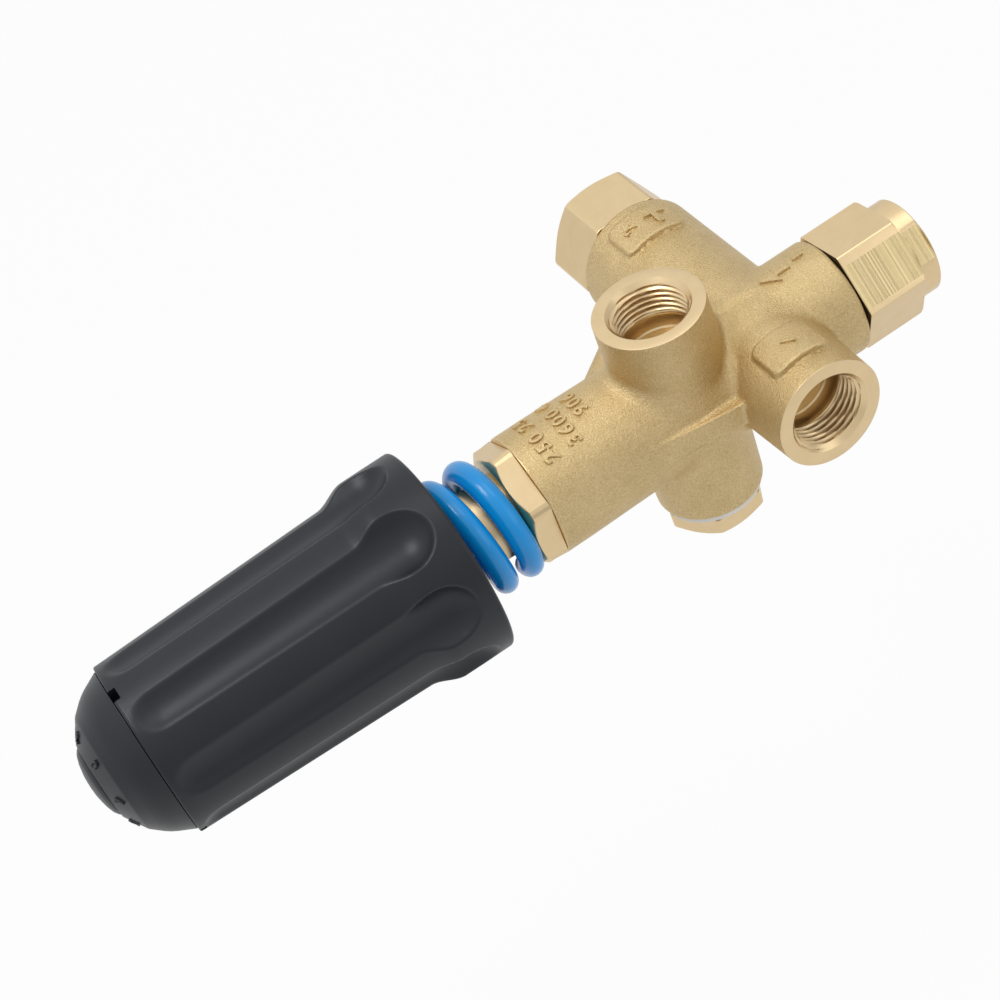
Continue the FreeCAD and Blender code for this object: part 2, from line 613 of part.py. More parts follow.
nodes = {
    "valve_body": make_body(),
    "guide_gland": make_gland(),
    "gland_o_ring": ring(GLAND_BORE_R + SEAL_R, SEAL_R,
                         GLAND_FACE + SEAL_R + 0.02),
    "seal_retainer": pipe(GLAND_BORE_R - 2 * GAP, ROD_R + 0.3,
                          GLAND_TIP + GAP, GLAND_BORE_END - GAP),
    "rod_seal": pipe(SEAL_ROOM_R - GAP, ROD_R + 0.02,
                     GLAND_TIP - GAP - ROD_SEAL_L, GLAND_TIP - GAP),
    "rod_backup_ring": pipe(SEAL_ROOM_R - GAP, ROD_R + 0.04,
                            GLAND_TIP - SEAL_ROOM_L + GAP,
                            GLAND_TIP - 2 * GAP - ROD_SEAL_L),
    "bypass_seat": make_bypass_seat(),
    "seat_o_ring": ring(CHAMBER_R - 0.72, 0.68, SEAT_X + 2.45),
    "inlet_fitting": screwed_fitting(
        INLET_FLATS, INLET_PHASE, NECK_END, NECK_BORE_X + 0.15, X, V(0, 0, 0),
        INLET_HEX_END, INLET_END, INLET_HOLE_R),
    "inlet_fitting_o_ring": ring(GLAND_BORE_R + SEAL_R, SEAL_R,
                                 NECK_END + NECK_GAP - SEAL_R - 0.02),
    "outlet_fitting": screwed_fitting(
        OUTLET_FLATS, OUTLET_PHASE, REAR_FACE, FITTING_BORE_Y + 0.6, Y, side,
        OUTLET_END, None, OUTLET_HOLE_R),
    "outlet_fitting_o_ring": ring(GLAND_BORE_R + SEAL_R, SEAL_R,
                                  REAR_FACE + GAP - SEAL_R - 0.02, Y, side),
    "check_seat": make_check_seat(),
    "check_seat_o_ring": ring(CHECK_BORE_R - 0.72, 0.68, CHECK_Y + 2.25, Y,
                              side),
    "bottom_plug": make_plug(),
    "plug_washer": pipe(PLUG_WASHER_R, PORT_R + 0.15, PLUG_FACE + GAP,
                        PLUG_FACE + GAP + PLUG_WASHER_T, -Z),
    "stem": make_stem(),
    "piston": make_piston(),
    "piston_o_ring": ring(PISTON_GROOVE_R + GAP + PISTON_SEAL_R,
                          PISTON_SEAL_R, PISTON_X[0] + PISTON_GROOVE_X
                          + BACKUP_T + PISTON_SEAL_R + 0.2),
    "piston_backup_ring": pipe(
        PISTON_R - 0.06, PISTON_GROOVE_R + GAP,
        PISTON_X[0] + PISTON_GROOVE_X + GAP,
        PISTON_X[0] + PISTON_GROOVE_X + GAP + BACKUP_T),
    "poppet": make_poppet(),
    "poppet_nut": nut(POPPET_NUT_FLATS, POPPET_NUT_H,
                      SEAT_X + SEAT_T + POPPET_BACK + GAP, TIP_R + 0.02),
    "lock_nut": nut(NUT_FLATS, NUT_H, INSERT_END - 2 * (NUT_H + GAP), ROD_R),
    "stop_nut": nut(NUT_FLATS, NUT_H, INSERT_END - NUT_H - GAP, ROD_R),
    "main_spring": coil(SPRING_R, WIRE_R, SPRING_X[0], SPRING_X[1],
                        SPRING_TURNS, SPRING_DEAD, phase=SPRING_PHASE),
    "spring_plate": make_spring_plate(),
    "thrust_washer": pipe(THRUST_R, ROD_R + 0.2, WASHER_X - THRUST_T,
                          WASHER_X),
    "knob_insert": make_knob_insert(),
    "knob": make_knob(),
    "end_cap": make_end_cap(),
    "check_poppet": make_check_poppet(),
    "check_spring": coil(CHECK_COIL_R, CHECK_WIRE_R, CHECK_TOP + 0.02,
                         FITTING_BORE_Y + 0.58, CHECK_TURNS, 1.0, Y, side,
                         steps=18),
}

for name, shape in nodes.items():
    shape.translate(V(-DATUM_X, 0, 0))
    shape.exportStep("parts/%s.step" % name)
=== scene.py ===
"""Pressure washer unloader valve, dressed for a studio picture.

Every mesh is worked out in millimetres about the crossing of the main bore (X)
and the bypass port (Z), then moved to the frame of the solids, in metres.
"""

from __future__ import annotations

import json
import logging
import math
from dataclasses import dataclass, field
from enum import Enum
from typing import Callable, Sequence

import bmesh
import bpy
import numpy as np
from mathutils import Matrix, Vector

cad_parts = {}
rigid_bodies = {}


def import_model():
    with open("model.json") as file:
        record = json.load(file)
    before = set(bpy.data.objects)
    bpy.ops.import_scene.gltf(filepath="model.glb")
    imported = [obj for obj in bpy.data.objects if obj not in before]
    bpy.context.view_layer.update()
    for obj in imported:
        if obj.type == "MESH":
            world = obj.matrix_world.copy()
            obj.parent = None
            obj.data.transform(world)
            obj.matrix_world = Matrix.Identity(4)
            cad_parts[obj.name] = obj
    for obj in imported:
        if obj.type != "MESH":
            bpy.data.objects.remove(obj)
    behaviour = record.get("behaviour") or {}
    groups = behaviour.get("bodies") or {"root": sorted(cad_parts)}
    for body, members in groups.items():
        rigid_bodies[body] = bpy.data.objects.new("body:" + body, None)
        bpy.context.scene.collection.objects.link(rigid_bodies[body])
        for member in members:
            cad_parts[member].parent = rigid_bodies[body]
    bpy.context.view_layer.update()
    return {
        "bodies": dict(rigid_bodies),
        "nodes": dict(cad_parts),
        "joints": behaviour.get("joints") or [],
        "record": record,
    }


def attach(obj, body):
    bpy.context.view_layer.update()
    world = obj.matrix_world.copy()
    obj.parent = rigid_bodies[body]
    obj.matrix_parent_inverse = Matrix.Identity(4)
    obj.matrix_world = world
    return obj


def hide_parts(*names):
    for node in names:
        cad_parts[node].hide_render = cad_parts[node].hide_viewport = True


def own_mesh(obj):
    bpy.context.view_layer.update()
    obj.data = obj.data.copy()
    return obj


LOG = logging.getLogger("unloader_valve")
MM = 0.001
CROSS_X = 17.85


class Way(Enum):
    """Direction that a turned piece faces, as the images of X, Y and Z."""

    INLET = ((1, 0, 0), (0, 1, 0), (0, 0, 1))
    OUTLET = ((0, 1, 0), (-1, 0, 0), (0, 0, 1))
    SECOND_INLET = ((0, -1, 0), (1, 0, 0), (0, 0, 1))
    BYPASS = ((0, 0, 1), (0, 1, 0), (-1, 0, 0))
    PLUG = ((0, 0, -1), (0, 1, 0), (1, 0, 0))

    @property
    def matrix(self) -> np.ndarray:
        """Rows that carry local X, Y and Z to the valve's frame."""
        return np.array(self.value, float)


class Spot(Enum):
    """Names of the finishes, as the record's material slots."""

    CAST = "cast_brass"
    MACHINED = "machined_brass"
    MILLED = "machined_brass.milled"
    STEEL = "steel"
    RUBBER = "black_rubber"
    SEAL = "seal_plastic"
    NYLON = "white_nylon"
    PAINT = "blue_paint"
    KNOB = "knob_plastic"

    @property
    def slot_name(self) -> str:
        """Name of the record's slot that the finish belongs to."""
        return self.value.split(".")[0]


@dataclass
class Shell:
    """A mesh in the making: points in millimetres, quads, finish numbers."""

    points: np.ndarray
    quads: np.ndarray
    finish: np.ndarray

    @staticmethod
    def from_grid(grid: np.ndarray, wrap: bool = True, wrap_second: bool = False,
                  finish: int = 0) -> "Shell":
        """Joins neighbours on a grid of points with quads.

        Args:
            grid: points, shape (rows, columns, 3).
            wrap: whether the last row joins the first.
            wrap_second: whether the last column joins the first.
            finish: material number of every quad.

        Returns:
            The shell, with quads that go row first, then column.
        """
        rows, columns = grid.shape[:2]
        i = np.arange(rows if wrap else rows - 1)[:, None]
        j = np.arange(columns if wrap_second else columns - 1)[None, :]
        i2, j2 = (i + 1) % rows, (j + 1) % columns
        quads = np.stack([i * columns + j, i2 * columns + j,
                          i2 * columns + j2, i * columns + j2], -1)
        quads = quads.reshape(-1, 4)
        return Shell(grid.reshape(-1, 3), quads,
                     np.full(len(quads), finish, np.int32))

    def placed(self, way: Way, origin: Sequence[float] = (0, 0, 0)) -> "Shell":
        """Turns the shell to face a way and sets it at an origin."""
        return Shell(self.points @ way.matrix + np.array(origin, float),
                     self.quads, self.finish)

    @staticmethod
    def joined(shells: Sequence["Shell"]) -> "Shell":
        """Puts several shells into one, each with its own points."""
        steps = np.cumsum([0] + [len(s.points) for s in shells[:-1]])
        return Shell(np.concatenate([s.points for s in shells]),
                     np.concatenate([s.quads + n
                                     for s, n in zip(shells, steps)]),
                     np.concatenate([s.finish for s in shells]))


def softened(points: Sequence[tuple[float, float]], radius: float,
             steps: int = 3) -> np.ndarray:
    """Rounds each corner of a profile with a short arc.

    The corner at P, between A and B, becomes the quadratic curve
    (1-t)^2 P_a + 2t(1-t) P + t^2 P_b, where P_a and P_b lie on the two sides at
    the wanted radius from P, or at 0.45 of the side where that is shorter.

    Args:
        points: (distance along the axis, radius) of each corner.
        radius: how far the rounding reaches from a corner.
        steps: pieces in each rounding.

    Returns:
        The rounded profile, shape (n, 2).
    """
    p = np.array(points, float)
    before, here, after = p[:-2], p[1:-1], p[2:]
    back, ahead = before - here, after - here
    back_len = np.linalg.norm(back, axis=1, keepdims=True)
    ahead_len = np.linalg.norm(ahead, axis=1, keepdims=True)
    a = here + back / back_len * np.minimum(radius, 0.45 * back_len)
    b = here + ahead / ahead_len * np.minimum(radius, 0.45 * ahead_len)
    t = np.linspace(0, 1, steps + 1)[None, :, None]
    arcs = ((1 - t) ** 2 * a[:, None] + 2 * t * (1 - t) * here[:, None]
            + t ** 2 * b[:, None])
    return np.vstack([p[:1], arcs.reshape(-1, 2), p[-1:]])


def turned(profile: np.ndarray, sides: int = 128, finish: int = 0) -> Shell:
    """Surface of revolution about X: (x, r cos a, r sin a).

    Args:
        profile: (x, r) pairs, in the order that keeps metal on the left.
        sides: steps round the axis.
        finish: material number.

    Returns:
        The turned shell.
    """
    angle = np.linspace(0, 2 * math.pi, sides, endpoint=False)[:, None]
    x = np.broadcast_to(profile[:, 0], (sides, len(profile)))
    r = profile[:, 1][None, :]
    return Shell.from_grid(
        np.stack([x, r * np.cos(angle), r * np.sin(angle)], -1), finish=finish)


@dataclass(frozen=True)
class Hexagon:
    """Hexagon bar whose corners are turned down, with a chamfered end."""

    flats: float
    start: float
    end: float
    phase: float
    corner_start: float
    corner_end: float
    bore_start: float
    bore_end: float
    chamfer_r: float
    edge: float = 0.12
    milled_face: int = -1

    def angles(self) -> np.ndarray:
        """Angles round the axis, closer at the edges of each corner strip."""
        least = min(self.corner_start, self.corner_end)
        half = math.degrees(math.acos(min(1.0, self.flats / 2 / least)))
        flat = np.linspace(-half, half, 15)
        strip = np.linspace(half, 60 - half, 7)[1:-1]
        one = np.concatenate([flat, strip])
        return np.radians(np.concatenate(
            [one + 60 * k for k in range(6)]) + self.phase + 30)

    def shell(self, finish: int = 0) -> Shell:
        """Grid of angle and profile point: r = min(flat, turned corner).

        The flat's radius is flats / 2 / cos(angle from its middle). The chamfer
        starts where the cone to chamfer_r at the end meets that radius, and a
        flat inside chamfer_r only has its edge broken.
        """
        a = self.angles()[:, None]
        off = (np.degrees(a) - self.phase) % 60 - 30
        flat = self.flats / 2 / np.cos(np.radians(off))
        low = np.minimum(flat, self.corner_start)
        high = np.minimum(flat, self.corner_end)
        e = self.edge
        tip = np.minimum(high - e, self.chamfer_r)
        reach = (high - tip) * math.tan(math.radians(30))
        one = np.ones_like(a)
        xs = [self.start * one, self.start * one, (self.start + e * 0.3) * one,
              (self.start + e) * one, self.end - reach - e,
              self.end - reach * 0.85, self.end - reach * 0.15,
              self.end * one, self.end * one]
        rs = [self.bore_start * one, low - e, low - e * 0.3, low, high,
              high - (high - tip) * 0.15, tip + (high - tip) * 0.15,
              tip - e * 0.5, self.bore_end * one]
        x, r = np.hstack(xs), np.hstack(rs)
        shell = Shell.from_grid(
            np.stack([x, r * np.cos(a), r * np.sin(a)], -1), finish=finish)
        face = np.floor((np.degrees(a[:, 0]) - self.phase) / 60) % 6
        milled = (face == self.milled_face) & (np.abs(off[:, 0]) < 25)
        shell.finish = np.where(np.repeat(milled, x.shape[1] - 1), finish + 1,
                                shell.finish).astype(np.int32)
        return shell


@dataclass(frozen=True)
class PipePort:
    """Female pipe thread with its mouth, run-out, floor and cross hole."""

    crest_r: float = 8.331
    root_r: float = 7.475
    mouth_r: float = 8.75
    pitch: float = 1.337
    thread: float = 9.2
    depth: float = 12.4
    hole_r: float = 4.5
    hole_depth: float = 4.0

    def shell(self, face: float, outer_r: float, finish: int = 0,
              through: bool = False, outer_edge: float = 0.12) -> Shell:
        """Face, thread and floor in one grid of angle and depth.

        The thread is r = middle + half depth * w(s), where s is the distance
        along the axis plus pitch * angle / 2 pi, and w is a triangle wave cut
        off at its top and bottom. The mouth cone is the larger radius.
        """
        sides = 120
        a = np.linspace(0, 2 * math.pi, sides, endpoint=False)[:, None]
        s = np.linspace(0.0, self.thread, int(self.thread / self.pitch * 10))
        turn = (s[None, :] / self.pitch + a / (2 * math.pi)) % 1.0
        wave = np.clip((np.abs(turn - 0.5) * 4 - 1) * 1.35, -1, 1)
        fade = np.clip((self.thread - s) / self.pitch, 0, 1)[None, :]
        middle = (self.crest_r + self.root_r) / 2
        deep = (self.crest_r - self.root_r) / 2
        r = middle + deep * wave * fade + (1 - fade) * deep * 0.3
        r = np.maximum(r, self.mouth_r - s[None, :])
        one = np.ones_like(a)
        if through:
            tail = [(self.thread + 0.3, middle), (self.depth, middle),
                    (self.depth + 0.8, self.hole_r),
                    (self.depth + 4.0, self.hole_r)]
        else:
            tail = [(self.thread + 0.3, middle), (self.depth - 0.3, middle),
                    (self.depth, middle - 0.3),
                    (self.depth, self.hole_r + 0.15),
                    (self.depth + 0.15, self.hole_r),
                    (self.depth + self.hole_depth, self.hole_r),
                    (self.depth + self.hole_depth + 1.2, 0.0)]
        head = [(outer_edge, outer_r), (outer_edge * 0.3, outer_r - 0.04),
                (0.0, outer_r - outer_edge), (0.0, self.mouth_r + 0.1)]
        x = np.hstack([one * face - d for d, _ in head]
                      + [face - s[None, :] * one]
                      + [one * face - d for d, _ in tail])
        radius = np.hstack([one * v for _, v in head] + [r]
                           + [one * v for _, v in tail])
        return Shell.from_grid(
            np.stack([x, radius * np.cos(a), radius * np.sin(a)], -1),
            finish=finish)


class Workshop:
    """Turns shells into objects that ride on the solids' bodies."""

    def __init__(self, frame: dict) -> None:
        """Keeps the frame and reads where the two bores cross."""
        self.frame = frame
        mounts = {m["name"]: m for m in frame["record"]["mounts"]}
        self.crossing = np.array(
            [mounts["bypass_port"]["pos_m"][0], 0.0, 0.0])
        self.finishes: dict[Spot, bpy.types.Material] = {}

    def piece(self, name: str, shell: Shell, spots: Sequence[Spot], body: str,
              replaced: Sequence[str] = (), sharp_deg: float = 24.0,
              weld_mm: float = 1e-4,
              cuts: Sequence[tuple[Vector, Vector]] = ()) -> bpy.types.Object:
        """Makes one object, welds it, marks its sharp edges and seats it.

        Args:
            name: object name.
            shell: its mesh, in millimetres about the crossing.
            spots: finishes, in the order of the shell's numbers.
            body: body that it rides on.
            replaced: nodes that it stands for.
            sharp_deg: edges that bend by more than this stay sharp.
            weld_mm: distance within which points become one.
            cuts: planes as (point, outward normal), in millimetres; what lies
                outside them is cut away.

        Returns:
            The object.
        """
        mesh = bpy.data.meshes.new(name)
        mesh.from_pydata(shell.points.tolist(), [], shell.quads.tolist())
        mesh.polygons.foreach_set("material_index", shell.finish)
        thing = self.finished(mesh, spots, body, sharp_deg, weld_mm, cuts)
        if replaced:
            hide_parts(*replaced)
        return thing

    def finished(self, mesh: bpy.types.Mesh, spots: Sequence[Spot], body: str,
                 sharp_deg: float, weld_mm: float,
                 cuts: Sequence[tuple[Vector, Vector]] = ()
                 ) -> bpy.types.Object:
        """Welds, cuts and places a mesh in millimetres, and lets it ride."""
        for spot in spots:
            mesh.materials.append(self.finishes[spot])
        work = bmesh.new()
        work.from_mesh(mesh)
        bmesh.ops.remove_doubles(work, verts=work.verts, dist=weld_mm)
        bmesh.ops.dissolve_degenerate(work, edges=work.edges, dist=weld_mm)
        for point, normal in cuts:
            bmesh.ops.bisect_plane(
                work, geom=work.verts[:] + work.edges[:] + work.faces[:],
                plane_co=point, plane_no=normal, clear_outer=True)
        work.to_mesh(mesh)
        work.free()
        mesh.transform(Matrix.Translation(Vector(self.crossing))
                       @ Matrix.Scale(MM, 4))
        mesh.shade_smooth()
        mesh.set_sharp_from_angle(angle=math.radians(sharp_deg))
        mesh.validate()
        thing = bpy.data.objects.new(mesh.name, mesh)
        bpy.context.scene.collection.objects.link(thing)
        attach(thing, body)
        LOG.info("%s: %d faces", mesh.name, len(mesh.polygons))
        return thing

    def dress(self, node: str, spot: Spot) -> None:
        """Gives a node of the solids its finish."""
        thing = self.frame["nodes"][node]
        thing.data.materials.clear()
        thing.data.materials.append(self.finishes[spot])

    def squeeze(self, thing: bpy.types.Object, joint_name: str,
                axis: int) -> None:
        """Finds the end of the spring that its joint keeps still, and gives the
        spring its own mesh. The spring is not shortened.

        Args:
            thing: the spring, in its final shape.
            joint_name: joint that squeezes it.
            axis: its axis, 0 for X and 1 for Y.
        """
        joint = next(j for j in self.frame["record"]["behaviour"]["joints"]
                     if j["name"] == joint_name)
        still = joint["deforming_nodes"][0]["fixed_end_%s_m" % "xy"[axis]]
        way, anchor = [0.0] * 3, [0.0] * 3
        way[axis], anchor[axis] = 1.0, still
        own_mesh(thing)


class Wiring:
    """Small helper that adds and joins shader nodes in one tree."""

    def __init__(self, tree: bpy.types.NodeTree) -> None:
        """Starts on a tree."""
        self.tree = tree

    def add(self, kind: str, **values: object) -> bpy.types.Node:
        """Adds a node; values named after sockets or properties are set."""
        node = self.tree.nodes.new(kind)
        for key, value in values.items():
            label = key.replace("_", " ")
            if hasattr(node, key):
                setattr(node, key, value)
            else:
                node.inputs[label].default_value = value
        return node

    def link(self, source: bpy.types.NodeSocket,
             target: bpy.types.NodeSocket) -> None:
        """Joins two sockets."""
        self.tree.links.new(source, target)


def grain_group() -> bpy.types.NodeGroup:
    """Blasted or moulded grain: a tint mask and a height from two noises."""
    tree = bpy.data.node_groups.new("fine_grain", "ShaderNodeTree")
    wires = Wiring(tree)
    face = tree.interface
    for name, value in (("Grain per mm", 4.0), ("Patch per mm", 0.12),
                        ("Patch Strength", 0.5)):
        socket = face.new_socket(name, in_out="INPUT",
                                 socket_type="NodeSocketFloat")
        socket.default_value = value
    face.new_socket("Height", in_out="OUTPUT", socket_type="NodeSocketFloat")
    face.new_socket("Patch", in_out="OUTPUT", socket_type="NodeSocketFloat")
    start = wires.add("NodeGroupInput")
    end = wires.add("NodeGroupOutput")
    place = wires.add("ShaderNodeTexCoord")
    scale = wires.add("ShaderNodeMath", operation="MULTIPLY")
    scale.inputs[1].default_value = 1000.0
    wires.link(start.outputs["Grain per mm"], scale.inputs[0])
    fine = wires.add("ShaderNodeTexNoise", Detail=3.0, Roughness=0.6)
    wires.link(place.outputs["Object"], fine.inputs["Vector"])
    wires.link(scale.outputs[0], fine.inputs["Scale"])
    wide = wires.add("ShaderNodeMath", operation="MULTIPLY")
    wide.inputs[1].default_value = 1000.0
    wires.link(start.outputs["Patch per mm"], wide.inputs[0])
    patch = wires.add("ShaderNodeTexNoise", Detail=4.0, Roughness=0.65)
    wires.link(place.outputs["Object"], patch.inputs["Vector"])
    wires.link(wide.outputs[0], patch.inputs["Scale"])
    centred = wires.add("ShaderNodeMath", operation="SUBTRACT")
    centred.inputs[1].default_value = 0.5
    wires.link(patch.outputs["Fac"], centred.inputs[0])
    strength = wires.add("ShaderNodeMath", operation="MULTIPLY_ADD")
    wires.link(centred.outputs[0], strength.inputs[0])
    wires.link(start.outputs["Patch Strength"], strength.inputs[1])
    strength.inputs[2].default_value = 0.5
    wires.link(fine.outputs["Fac"], end.inputs["Height"])
    wires.link(strength.outputs[0], end.inputs["Patch"])
    return tree


def cutter_group() -> bpy.types.NodeGroup:
    """Cutter lines across X: a height from a stretched noise."""
    tree = bpy.data.node_groups.new("cutter_lines", "ShaderNodeTree")
    wires = Wiring(tree)
    face = tree.interface
    for name in ("Lines per mm", "Depth"):
        face.new_socket(name, in_out="INPUT",
                        socket_type="NodeSocketFloat").default_value = 1.0
    face.new_socket("Height", in_out="OUTPUT", socket_type="NodeSocketFloat")
    start = wires.add("NodeGroupInput")
    end = wires.add("NodeGroupOutput")
    place = wires.add("ShaderNodeTexCoord")
    split = wires.add("ShaderNodeSeparateXYZ")
    wires.link(place.outputs["Object"], split.inputs[0])
    scale = wires.add("ShaderNodeMath", operation="MULTIPLY")
    scale.inputs[1].default_value = 1000.0
    wires.link(start.outputs["Lines per mm"], scale.inputs[0])
    lines = wires.add("ShaderNodeTexNoise", noise_dimensions="1D", Detail=2.0,
                      Roughness=0.7)
    wires.link(split.outputs["X"], lines.inputs["W"])
    wires.link(scale.outputs[0], lines.inputs["Scale"])
    steep = wires.add("ShaderNodeMapRange")
    steep.inputs["From Min"].default_value = 0.38
    steep.inputs["From Max"].default_value = 0.62
    wires.link(lines.outputs["Fac"], steep.inputs["Value"])
    deep = wires.add("ShaderNodeMath", operation="MULTIPLY")
    wires.link(steep.outputs["Result"], deep.inputs[0])
    wires.link(start.outputs["Depth"], deep.inputs[1])
    wires.link(deep.outputs[0], end.inputs["Height"])
    return tree


@dataclass(frozen=True)
class Finish:
    """A surface: two colours in linear light, gloss and grain."""

    dark: tuple[float, float, float]
    light: tuple[float, float, float]
    metallic: float
    roughness: float
    grain_per_mm: float
    grain_depth_mm: float
    patch_per_mm: float = 0.12
    patch_strength: float = 0.6
    roughness_swing: float = 0.06
    coat: float = 0.0
    specular: float = 0.5
    sparkle: float = 0.0
    lines_per_mm: float = 0.0
    lines_depth_mm: float = 0.0

    def material(self, name: str, grain: bpy.types.NodeGroup,
                 cutter: bpy.types.NodeGroup) -> bpy.types.Material:
        """Builds the material round the shared grain group.

        Args:
            name: material name.
            grain: the shared grain group.
            cutter: the shared group of cutter lines.

        Returns:
            The material.
        """
        material = bpy.data.materials.new(name)
        material.use_nodes = True
        material.node_tree.nodes.clear()
        wires = Wiring(material.node_tree)
        out = wires.add("ShaderNodeOutputMaterial")
        shader = wires.add("ShaderNodeBsdfPrincipled")
        shader.inputs["Metallic"].default_value = self.metallic
        shader.inputs["Specular IOR Level"].default_value = self.specular
        shader.inputs["Coat Weight"].default_value = self.coat
        shader.inputs["Coat Roughness"].default_value = 0.06
        wires.link(shader.outputs[0], out.inputs["Surface"])
        group = wires.add("ShaderNodeGroup")
        group.node_tree = grain
        group.inputs["Grain per mm"].default_value = self.grain_per_mm
        group.inputs["Patch per mm"].default_value = self.patch_per_mm
        group.inputs["Patch Strength"].default_value = self.patch_strength * 2
        tint = wires.add("ShaderNodeMix", data_type="RGBA")
        tint.inputs["A"].default_value = (*self.dark, 1.0)
        tint.inputs["B"].default_value = (*self.light, 1.0)
        mask: bpy.types.NodeSocket = group.outputs["Patch"]
        if self.sparkle:
            flecks = wires.add("ShaderNodeMath", operation="MULTIPLY_ADD")
            flecks.inputs[1].default_value = self.sparkle
            wires.link(group.outputs["Height"], flecks.inputs[0])
            wires.link(mask, flecks.inputs[2])
            lower = wires.add("ShaderNodeMath", operation="SUBTRACT",
                              use_clamp=True)
            lower.inputs[1].default_value = self.sparkle * 0.5
            wires.link(flecks.outputs[0], lower.inputs[0])
            mask = lower.outputs[0]
        wires.link(mask, tint.inputs[0])
        wires.link(tint.outputs["Result"], shader.inputs["Base Color"])
        gloss = wires.add("ShaderNodeMath", operation="MULTIPLY_ADD")
        gloss.inputs[1].default_value = self.roughness_swing
        gloss.inputs[2].default_value = (self.roughness
                                         - self.roughness_swing * 0.5)
        wires.link(group.outputs["Height"], gloss.inputs[0])
        wires.link(gloss.outputs[0], shader.inputs["Roughness"])
        bump = wires.add("ShaderNodeBump")
        bump.inputs["Distance"].default_value = self.grain_depth_mm * MM
        bump.inputs["Strength"].default_value = 1.0
        wires.link(group.outputs["Height"], bump.inputs["Height"])
        if self.lines_per_mm:
            lines = wires.add("ShaderNodeGroup")
            lines.node_tree = cutter
            lines.inputs["Lines per mm"].default_value = self.lines_per_mm
            lines.inputs["Depth"].default_value = 1.0
            cut = wires.add("ShaderNodeBump")
            cut.inputs["Distance"].default_value = self.lines_depth_mm * MM
            cut.inputs["Strength"].default_value = 1.0
            wires.link(lines.outputs["Height"], cut.inputs["Height"])
            wires.link(cut.outputs["Normal"], bump.inputs["Normal"])
        wires.link(bump.outputs["Normal"], shader.inputs["Normal"])
        return material


FINISHES: dict[Spot, Finish] = {
    Spot.CAST: Finish((0.49, 0.355, 0.155), (0.80, 0.62, 0.345), 1.0, 0.43, 3.2,
                      0.21, 0.10, 0.35, 0.16, sparkle=2.0),
    Spot.MACHINED: Finish((0.73, 0.55, 0.31), (0.84, 0.66, 0.40), 1.0, 0.31,
                          7.0, 0.008, 0.3, 0.5, 0.10),
    Spot.MILLED: Finish((0.70, 0.55, 0.28), (0.82, 0.66, 0.38), 1.0, 0.32,
                        7.0, 0.006, 0.3, 0.5, 0.10, lines_per_mm=1.3,
                        lines_depth_mm=0.09),
    Spot.STEEL: Finish((0.42, 0.40, 0.37), (0.60, 0.58, 0.55), 1.0, 0.32, 6.0,
                       0.004, 0.3, 0.4, 0.1),
    Spot.RUBBER: Finish((0.015, 0.015, 0.016), (0.03, 0.03, 0.03), 0.0, 0.6,
                        5.0, 0.006),
    Spot.SEAL: Finish((0.70, 0.68, 0.62), (0.82, 0.80, 0.75), 0.0, 0.45, 4.0,
                      0.004),
    Spot.NYLON: Finish((0.74, 0.72, 0.68), (0.84, 0.82, 0.78), 0.0, 0.5, 4.0,
                       0.006),
    Spot.PAINT: Finish((0.002, 0.28, 0.72), (0.003, 0.33, 0.80), 0.0, 0.24,
                       1.2, 0.012, 0.2, 0.5, 0.03, coat=0.2, specular=0.4),
    Spot.KNOB: Finish((0.0065, 0.009, 0.013), (0.011, 0.0145, 0.020), 0.0,
                      0.38, 5.0, 0.012, 0.08, 0.6, 0.10, specular=0.44),
}


def capped_cylinder(p: np.ndarray, axis: int, centre: tuple[float, float],
                    radius: np.ndarray | float, low: float, high: float,
                    edge: float = 0.0) -> np.ndarray:
    """Signed distance to a cylinder along one axis, with rounded ends.

    With q = (distance from the side, distance past the end), both taken to the
    inner edge line, it is |max(q, 0)| + min(max(q), 0) - edge.
    """
    across = [k for k in range(3) if k != axis]
    out = np.hypot(p[:, across[0]] - centre[0], p[:, across[1]] - centre[1])
    qa = out - radius + edge
    middle, half = (low + high) / 2, (high - low) / 2
    qb = np.abs(p[:, axis] - middle) - half + edge
    return (np.hypot(np.maximum(qa, 0), np.maximum(qb, 0))
            + np.minimum(np.maximum(qa, qb), 0) - edge)


def capsule(p: np.ndarray, start: Sequence[float], end: Sequence[float],
            radius: float) -> np.ndarray:
    """Signed distance to a round bar between two points."""
    a, b = np.array(start, float), np.array(end, float)
    along = np.clip(((p - a) @ (b - a)) / ((b - a) @ (b - a)), 0, 1)
    return np.linalg.norm(p - a - along[:, None] * (b - a), axis=1) - radius


def welded(a: np.ndarray, b: np.ndarray, radius: float) -> np.ndarray:
    """Union of two distance fields with a fillet of that radius between them.

    max(min(a, b), r) - |(max(r - a, 0), max(r - b, 0))|.
    """
    return np.maximum(np.minimum(a, b), radius) - np.hypot(
        np.maximum(radius - a, 0), np.maximum(radius - b, 0))


def trimmed(a: np.ndarray, b: np.ndarray, radius: float) -> np.ndarray:
    """Intersection of two distance fields with a rounded edge."""
    return np.minimum(np.maximum(a, b), -radius) + np.hypot(
        np.maximum(radius + a, 0), np.maximum(radius + b, 0))


